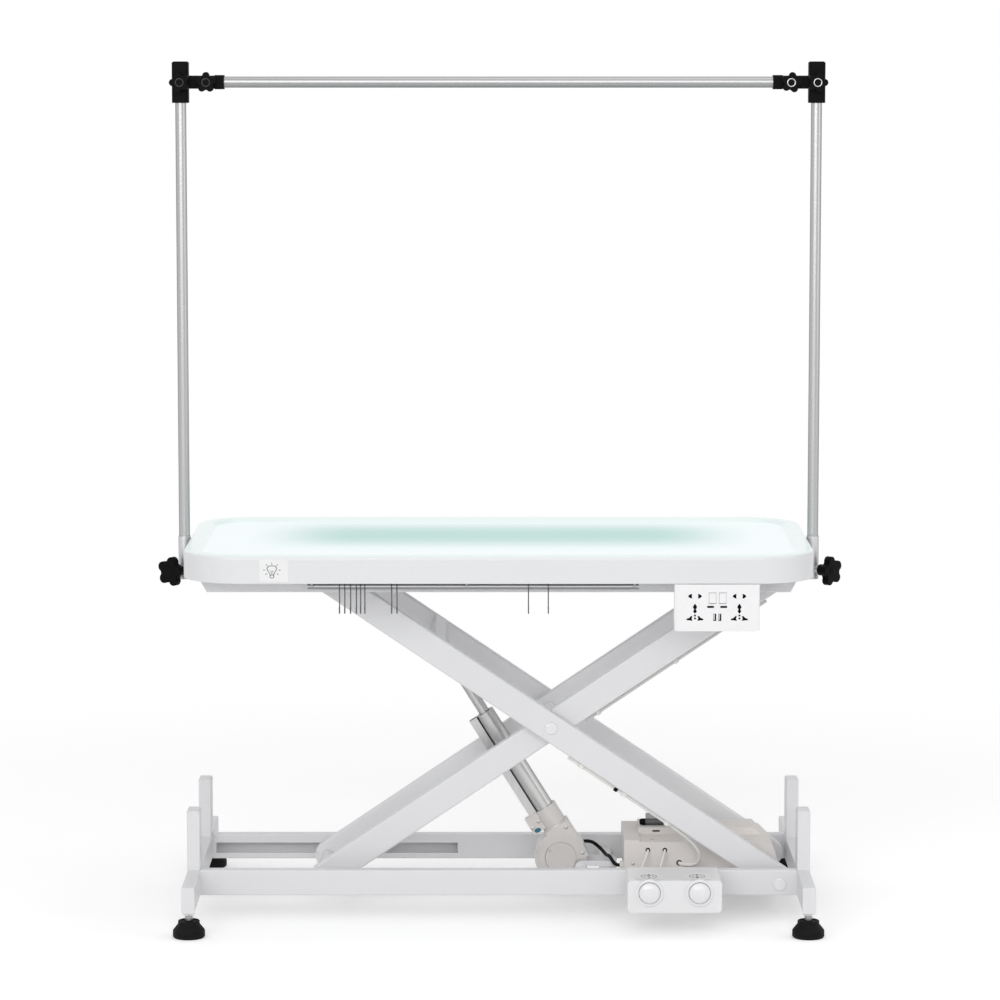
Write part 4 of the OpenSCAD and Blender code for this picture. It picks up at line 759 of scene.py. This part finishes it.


# The holes are thin dark sheets on the plate; their black is painted shade
def socket_holes():
    bm = bmesh.new()

    def hole(outline, x, z):
        plate(bm, outline, facing_front(x, PLATE_FRONT + PRINT_SINK, z), HOLE_THICK)

    pin = [(5.6, -4.3), (8.2, -3.9), (11.2, -2.2), (13.0, 0), (11.2, 2.2), (8.2, 3.9),
           (5.6, 4.3), (6.2, 0)]
    fang = [(4.4, -4.6), (15.6, -3.4), (16.0, -1.0), (11.0, 0.6), (7.6, 4.3), (4.8, 4.3),
            (6.3, -0.4)]
    for x in SOCKET_X:
        for side in (-1, 1):
            hole([(side * u, v) for u, v in pin][::side], x, SIDE_HOLES_Z)
            hole([(side * u, v) for u, v in fang][::side], x, LOWER_HOLES_Z)
        hole([(0, -5.2), (3.0, -2.6), (4.1, 0.4), (2.0, 3.4), (1.5, 5.6), (-1.5, 5.6), (-2.0, 3.4),
              (-4.1, 0.4), (-3.0, -2.6)], x, LONG_HOLE_Z)
        hole([(0, -4.4), (3.5, -0.4), (1.6, 4.2), (-1.6, 4.2), (-3.5, -0.4)], x, SHORT_HOLE_Z)
        for z in DOTS_Z:
            hole(arc(DOT_R, 0, 337.5, 15), x, z)
    for x in SLOT_X:
        hole(framed(6.3, 1.9), x, SLOT_Z)
    finished(bm, "socket_holes", HOLE_SHADE, "tabletop")


def charging_ports():
    holes = bmesh.new()
    tongues = bmesh.new()
    for x in PORT_X:
        # Dark block for each port's opening: painted shade inside it
        block(holes, (5.6, 0.5, 13.5), spot(x, PLATE_FRONT, PORT_Z))
        block(tongues, (2.6, 0.9, 11.6), spot(x - 1.1, PLATE_FRONT, PORT_Z + 0.6), 0.2, 1)
    finished(holes, "charging_holes", HOLE_SHADE, "tabletop")
    finished(tongues, "charging_tongues", ZINC, "tabletop")


def rocker_frame():
    """Fine line round each rocker where the plate is let in."""
    bm = bmesh.new()
    for side in (-1, 1):
        place = facing_front(ROCKER_X + side * ROCKER_OUT, PLATE_FRONT + PRINT_SINK, ROCKER_Z)
        corners = framed(6.9, 10.9)
        line(bm, corners + corners[:1], 0.35, place, 0.2)
    finished(bm, "rocker_frame", ZINC, "tabletop")


def plate_screws():
    bm = bmesh.new()
    cap = [(0, 0.5), (1.6, 0.45), (2.2, 0.1), (2.3, -0.3)]
    for x in PLATE_SCREW_X:
        turned(bm, cap, facing_front(x, PLATE_FRONT, PLATE_SCREW_Z), 20)
    finished(bm, "plate_screw_caps", PLATE_PLASTIC, "tabletop")


socket_holes()
charging_ports()
rocker_frame()
plate_screws()


# Foot switch: printed labels on its top and gaskets round its buttons

LABEL_X = (285.0, 376.3)
LABEL_Y = -304.0
BUTTON_X = (285.25, 379.75)
BUTTON_Z = 88.5
GASKET_Y = -344.0
FILM_RISE, INK_RISE = 0.15, 0.1


def switch_label(x, name, up):
    """Film on the switch's top with an arrow between two bows printed on it."""
    film = bmesh.new()
    half = [(25, -30), (25, 2), (23, 14), (17, 24), (8, 31), (0, 33)]
    outline = half + [(-u, v) for u, v in half[-2::-1]]
    plate(film, outline, spot(x, LABEL_Y, SWITCH_TOP), FILM_RISE)
    finished(film, "label_" + name, LABEL_FILM, "base")
    ink = bmesh.new()
    place = spot(x, LABEL_Y, SWITCH_TOP + FILM_RISE)
    way = 1 if up else -1
    line(ink, [(0, -16 * way), (0, 10 * way)], 1.5, place, INK_RISE)
    line(ink, [(-3.2, 4 * way), (0, 18 * way), (3.2, 4 * way)], 1.5, place, INK_RISE)
    line(ink, [(-3.6, -17 * way), (3.6, -17 * way)], 2.2, place, INK_RISE)
    for side in (-1, 1):
        bow = arc(14.5, -66, 66, 12, 0, 0, 1.25)
        line(ink, [(side * u, v) for u, v in bow], 1.1, place, INK_RISE)
        line(ink, [(side * u * 0.62, v * 0.62) for u, v in bow], 0.8, place, INK_RISE)
    finished(ink, "arrow_" + name, INK, "base")


def button_gaskets():
    bm = bmesh.new()
    ring = [(24.0, -4.2), (25.6, -4.0), (26.2, -3.0), (26.2, -1.2), (25.4, -0.3), (24.0, -0.1)]
    for x in BUTTON_X:
        turned(bm, ring, facing_front(x, GASKET_Y, BUTTON_Z), 48)
    finished(bm, "button_gaskets", WHITE_PLASTIC, "base")


switch_label(LABEL_X[0], "up", True)
switch_label(LABEL_X[1], "down", False)
button_gaskets()


# Control box: cable bushes, lid screws, handle rod and the slot's dark inside, a block of painted
# shade

BUSHES = ((291, 117, 4.4), (324, 117, 4.4), (352, 92, 5.4))
LID_SCREW_X, LID_SCREW_Y = (300, 480), (-60, 96)
FRONT_SCREW_X, FRONT_SCREW_Z = (262, 500), 90
ROD_X0, ROD_X1 = 277.0, 345.0
ROD_Y, ROD_Z, ROD_R = 20.0, 153.5, 6.5
BAND_R, BAND_FROM_END = 6.9, 12
LID_SLOT_SIZE = (14.4, 0.6, 3.1)
LID_SLOT_AT = (309.5, -4.8, 140.0)


def box_bushes():
    bm = bmesh.new()
    for x, z, radius in BUSHES:
        profile = [(radius - 1.7, -1.0), (radius - 1.7, 0.8), (radius - 0.9, 1.3),
                   (radius, 0.7), (radius + 0.3, -0.1)]
        turned(bm, profile, facing_front(x, BOX_FRONT, z), 24)
    finished(bm, "box_bushes", BLACK_PLASTIC, "base")


def box_screws():
    bm = bmesh.new()
    for x in LID_SCREW_X:
        for y in LID_SCREW_Y:
            screw_head(bm, spot(x, y, BOX_LID), 3.6, 1.8)
    for x in FRONT_SCREW_X:
        screw_head(bm, facing_front(x, BOX_FRONT, FRONT_SCREW_Z), 3.4, 1.6)
    finished(bm, "box_screws", ZINC, "base")


def handle_rod():
    """Rod along the raised lid, with round ends and a glossier band round its middle."""
    place = spot(ROD_X0, ROD_Y, ROD_Z) @ rotation(90, "Y")
    length = ROD_X1 - ROD_X0
    rod = bmesh.new()
    cap = [(0, 0), (2.6, 0.3), (4.6, 1.3), (6.0, 3.2), (ROD_R, 5.4)]
    far_cap = [(radius, length - height) for radius, height in cap[::-1]]
    turned(rod, cap + far_cap, place, 32)
    finished(rod, "lid_rod", BLACK_PLASTIC, "base")
    band = bmesh.new()
    near = [(ROD_R, BAND_FROM_END), (BAND_R, BAND_FROM_END + 0.4)]
    far = [(radius, length - height) for radius, height in near[::-1]]
    turned(band, near + far, place, 32)
    finished(band, "lid_rod_band", HANDLE_GLOSS, "base")


def lid_slot():
    bm = bmesh.new()
    # Black block in the slot: painted shade inside it
    block(bm, LID_SLOT_SIZE, spot(*LID_SLOT_AT))
    finished(bm, "lid_slot", HOLE_SHADE, "base")


box_bushes()
box_screws()
handle_rod()
lid_slot()


# Actuator: rings of the case's neck, ribs, screws, round seam and the plain oval film

CASE_FRONT = -27.0
BRACKET_FRONT = -12.0
GEAR_X, GEAR_Z = -24.0, 39.0
RIB_RADII = (49.2, 45.6, 42.0)
RIB_START, RIB_SWEEP = 118, 96
SEAM_START, SEAM_SWEEP = 112, 120
BRACKET_SCREWS = ((-24.7, 120.4), (-41.2, 115.4))
CASE_SCREWS = ((-34.7, 61.8), (17.0, 84.0), (-62.0, 22.0), (17.0, 24.0))
OVAL_X, OVAL_Z = -35.2, 106.4
OVAL_R, OVAL_FLAT, OVAL_TILT = 6.6, 0.68, -8


def case_parts():
    """Two rings round the neck, three ribs round the gear's end, and the cover's seam."""
    bm = bmesh.new()
    turned(bm, [(23.0, 92), (26.4, 92.4), (26.9, 93.4), (26.9, 97.6), (26.0, 99.0), (23.0, 99.2)],
           on_actuator(0, 0, 0), 48)
    turned(bm, [(18.5, 137), (22.2, 137.2), (23.2, 136.4), (23.4, 135.0), (23.0, 133.6)],
           on_actuator(0, 0, 0), 48)
    front = on_actuator_front(GEAR_X, CASE_FRONT, GEAR_Z)
    for radius in RIB_RADII:
        rib = [(radius - 1.0, -0.4), (radius - 0.7, 0.8), (radius + 0.7, 0.8), (radius + 1.0, -0.4)]
        turned(bm, rib, front @ rotation(RIB_START, "Z"), 24, RIB_SWEEP)
    finished(bm, "case_ribs", CASE_PAINT, "actuator_body")
    seam = bmesh.new()
    turned(seam, [(30.2, -0.2), (30.4, 0.25), (31.0, 0.25), (31.2, -0.2)],
           front @ rotation(SEAM_START, "Z"), 24, SEAM_SWEEP)
    finished(seam, "case_seam", SEAM_GREY, "actuator_body")


def case_screws():
    bm = bmesh.new()
    for x, z in BRACKET_SCREWS:
        screw_head(bm, on_actuator_front(x, BRACKET_FRONT, z), 3.9, 2.0)
    for x, z in CASE_SCREWS:
        screw_head(bm, on_actuator_front(x, CASE_FRONT, z), 3.6, 1.8)
    finished(bm, "case_screws", ZINC, "actuator_body")


def oval_film():
    bm = bmesh.new()
    place = on_actuator_front(OVAL_X, BRACKET_FRONT, OVAL_Z) @ rotation(OVAL_TILT, "Z")
    plate(bm, arc(OVAL_R, 0, 345, 23, 0, 0, OVAL_FLAT), place, 0.2)
    finished(bm, "oval_film", TEAL_FILM, "actuator_body")


case_parts()
case_screws()
oval_film()


# Knobs: a metal ring in each clamp knob's face, bright on the right knobs as a painted highlight
# and dark on the left knobs as painted shade, and a raised button in each height knob's

RING_R = 7.4
HEIGHT_KNOB_TURNS = {"right": (1, 48), "left": (-1, 32)}


def knob_face(name, place, look, body):
    bm = bmesh.new()
    ring = [(RING_R - 0.9, -1.9), (RING_R - 0.8, 0.1), (RING_R, 0.4), (RING_R + 0.8, 0.1),
            (RING_R + 0.9, -1.9)]
    turned(bm, ring, place, 36)
    finished(bm, name, look, body)


# Left rings get the painted shade, right rings the painted highlight
for side, look in ((-1, RING_PAINTED_SHADE), (1, RING_PAINTED_HIGHLIGHT)):
    hand = "left" if side < 0 else "right"
    for kind, x in (("post", POST_X), ("bar", BAR_KNOB_X)):
        body_name = "clamp_knob_%s_%s" % (hand, kind)
        knob_face(body_name + "_ring", facing_front(side * x, KNOB_FRONT, BAR_Z), look, body_name)


def height_knob_face(hand, side, turn):
    """Button in the knob's face; the left one is made on the right and mirrored."""
    bm = bmesh.new()
    swing = rotation(turn - 90, "Z") @ rotation(90, "Y")
    place = spot(POST_X, 0, HEIGHT_KNOB_Z) @ swing @ spot(0, 0, HEIGHT_KNOB_OUT)
    button = [(0, 0.9), (6.4, 0.8), (7.2, 0.3), (7.6, 0.5), (9.2, 0.9), (10.0, 0.4), (10.2, -0.6)]
    turned(bm, button, place, 36)
    if side < 0:
        bmesh.ops.transform(bm, matrix=Matrix.Diagonal((-1, 1, 1, 1)), verts=bm.verts)
    name = "height_knob_" + hand
    finished(bm, name + "_button", BLACK_PLASTIC, name)


for knob_hand, (knob_side, knob_turn) in HEIGHT_KNOB_TURNS.items():
    height_knob_face(knob_hand, knob_side, knob_turn)


# Weld beads under the coat where the base legs meet the rails

WELD_X, WELD_Z = 573.8, 75
WELD_Y = (-187.5, -162.5, 162.5, 187.5)
WELD_SIZE, WELD_EDGE = (2.6, 2.6, 46), 1.1


def weld_beads():
    bm = bmesh.new()
    for side in (-1, 1):
        for y in WELD_Y:
            block(bm, WELD_SIZE, spot(side * WELD_X, y, WELD_Z), WELD_EDGE, 2)
    finished(bm, "rail_welds", WHITE_COAT, "base")


weld_beads()


# Light and floor, in metres and watts; the world's fill is its share of plain white

WORLD_FILL = 0.56
FLOOR_TONE, FLOOR_DRIFT, FLOOR_GLOW = 0.90, 0.02, 0.30
FLOOR_NEAR, FLOOR_FAR = 1.3, 2.6
FLOOR_HALF = 40.0


def soft_lamp(name, place, target, width, height, power):
    lamp = bpy.data.lights.new(name, "AREA")
    lamp.shape = "RECTANGLE"
    lamp.size = width
    lamp.size_y = height
    lamp.energy = power
    holder = put_in_scene(name, lamp)
    holder.location = place
    holder.rotation_mode = "QUATERNION"
    holder.rotation_quaternion = (Vector(target) - Vector(place)).to_track_quat("-Z", "Y")


def seen_directly(tree):
    """1 for camera, mirror and glass rays, and 0 for the light that falls on surfaces."""
    path = tree.nodes.new("ShaderNodeLightPath").outputs
    seen = math_node(tree, "MAXIMUM", path["Is Camera Ray"], path["Is Glossy Ray"])
    return math_node(tree, "MAXIMUM", seen, path["Is Transmission Ray"])


def set_world(fill):
    world = bpy.data.worlds.new("studio")
    bpy.context.scene.world = world
    world.use_nodes = True
    tree = world.node_tree
    back = tree.nodes["Background"]
    back.inputs["Color"].default_value = (1, 1, 1, 1)
    strength = math_node(tree, "MULTIPLY_ADD", seen_directly(tree), 1.0 - fill, fill)
    tree.links.new(strength, back.inputs["Strength"])


def pale_floor():
    """White floor that keeps the soft shadow near the object and is plain white further out."""
    look, tree, shader = new_material("pale_floor")
    place = tree.nodes.new("ShaderNodeTexCoord").outputs["Object"]
    patches = noise_node(tree, place, 0.4, 2.0)
    tone = math_node(tree, "MULTIPLY_ADD", patches, FLOOR_DRIFT, FLOOR_TONE)
    tree.links.new(tone, shader.inputs["Base Color"])
    shader.inputs["Roughness"].default_value = 0.9
    shader.inputs["Specular IOR Level"].default_value = 0.0
    shader.inputs["Emission Color"].default_value = (1, 1, 1, 1)
    seen = seen_directly(tree)
    glow = math_node(tree, "MULTIPLY", seen, FLOOR_GLOW)
    tree.links.new(glow, shader.inputs["Emission Strength"])
    reach = tree.nodes.new("ShaderNodeVectorMath")
    reach.operation = "LENGTH"
    tree.links.new(place, reach.inputs[0])
    away = tree.nodes.new("ShaderNodeMapRange")
    away.interpolation_type = "SMOOTHSTEP"
    away.inputs["From Min"].default_value = FLOOR_NEAR
    away.inputs["From Max"].default_value = FLOOR_FAR
    tree.links.new(reach.outputs["Value"], away.inputs["Value"])
    plain = tree.nodes.new("ShaderNodeEmission")
    plain.inputs["Color"].default_value = (1, 1, 1, 1)
    blend = tree.nodes.new("ShaderNodeMixShader")
    tree.links.new(math_node(tree, "MULTIPLY", away.outputs["Result"], seen), blend.inputs["Fac"])
    tree.links.new(shader.outputs["BSDF"], blend.inputs[1])
    tree.links.new(plain.outputs["Emission"], blend.inputs[2])
    tree.links.new(blend.outputs[0], tree.nodes["Material Output"].inputs["Surface"])
    mesh = bpy.data.meshes.new("floor")
    bm = bmesh.new()
    bmesh.ops.create_grid(bm, x_segments=1, y_segments=1, size=FLOOR_HALF)
    bm.to_mesh(mesh)
    bm.free()
    mesh.materials.append(look)
    put_in_scene("floor", mesh)


soft_lamp("front_soft", (-1.2, -6.4, 3.2), (0, 0, 0.6), width=7.0, height=4.5, power=205)
soft_lamp("top_soft", (0.4, 0.2, 4.2), (0, 0, 0.6), width=3.5, height=2.5, power=20)
soft_lamp("right_soft", (4.6, -1.8, 2.2), (0, 0, 0.7), width=2.0, height=3.0, power=20)
set_world(WORLD_FILL)
pale_floor()

bpy.context.scene.view_settings.view_transform = "Standard"
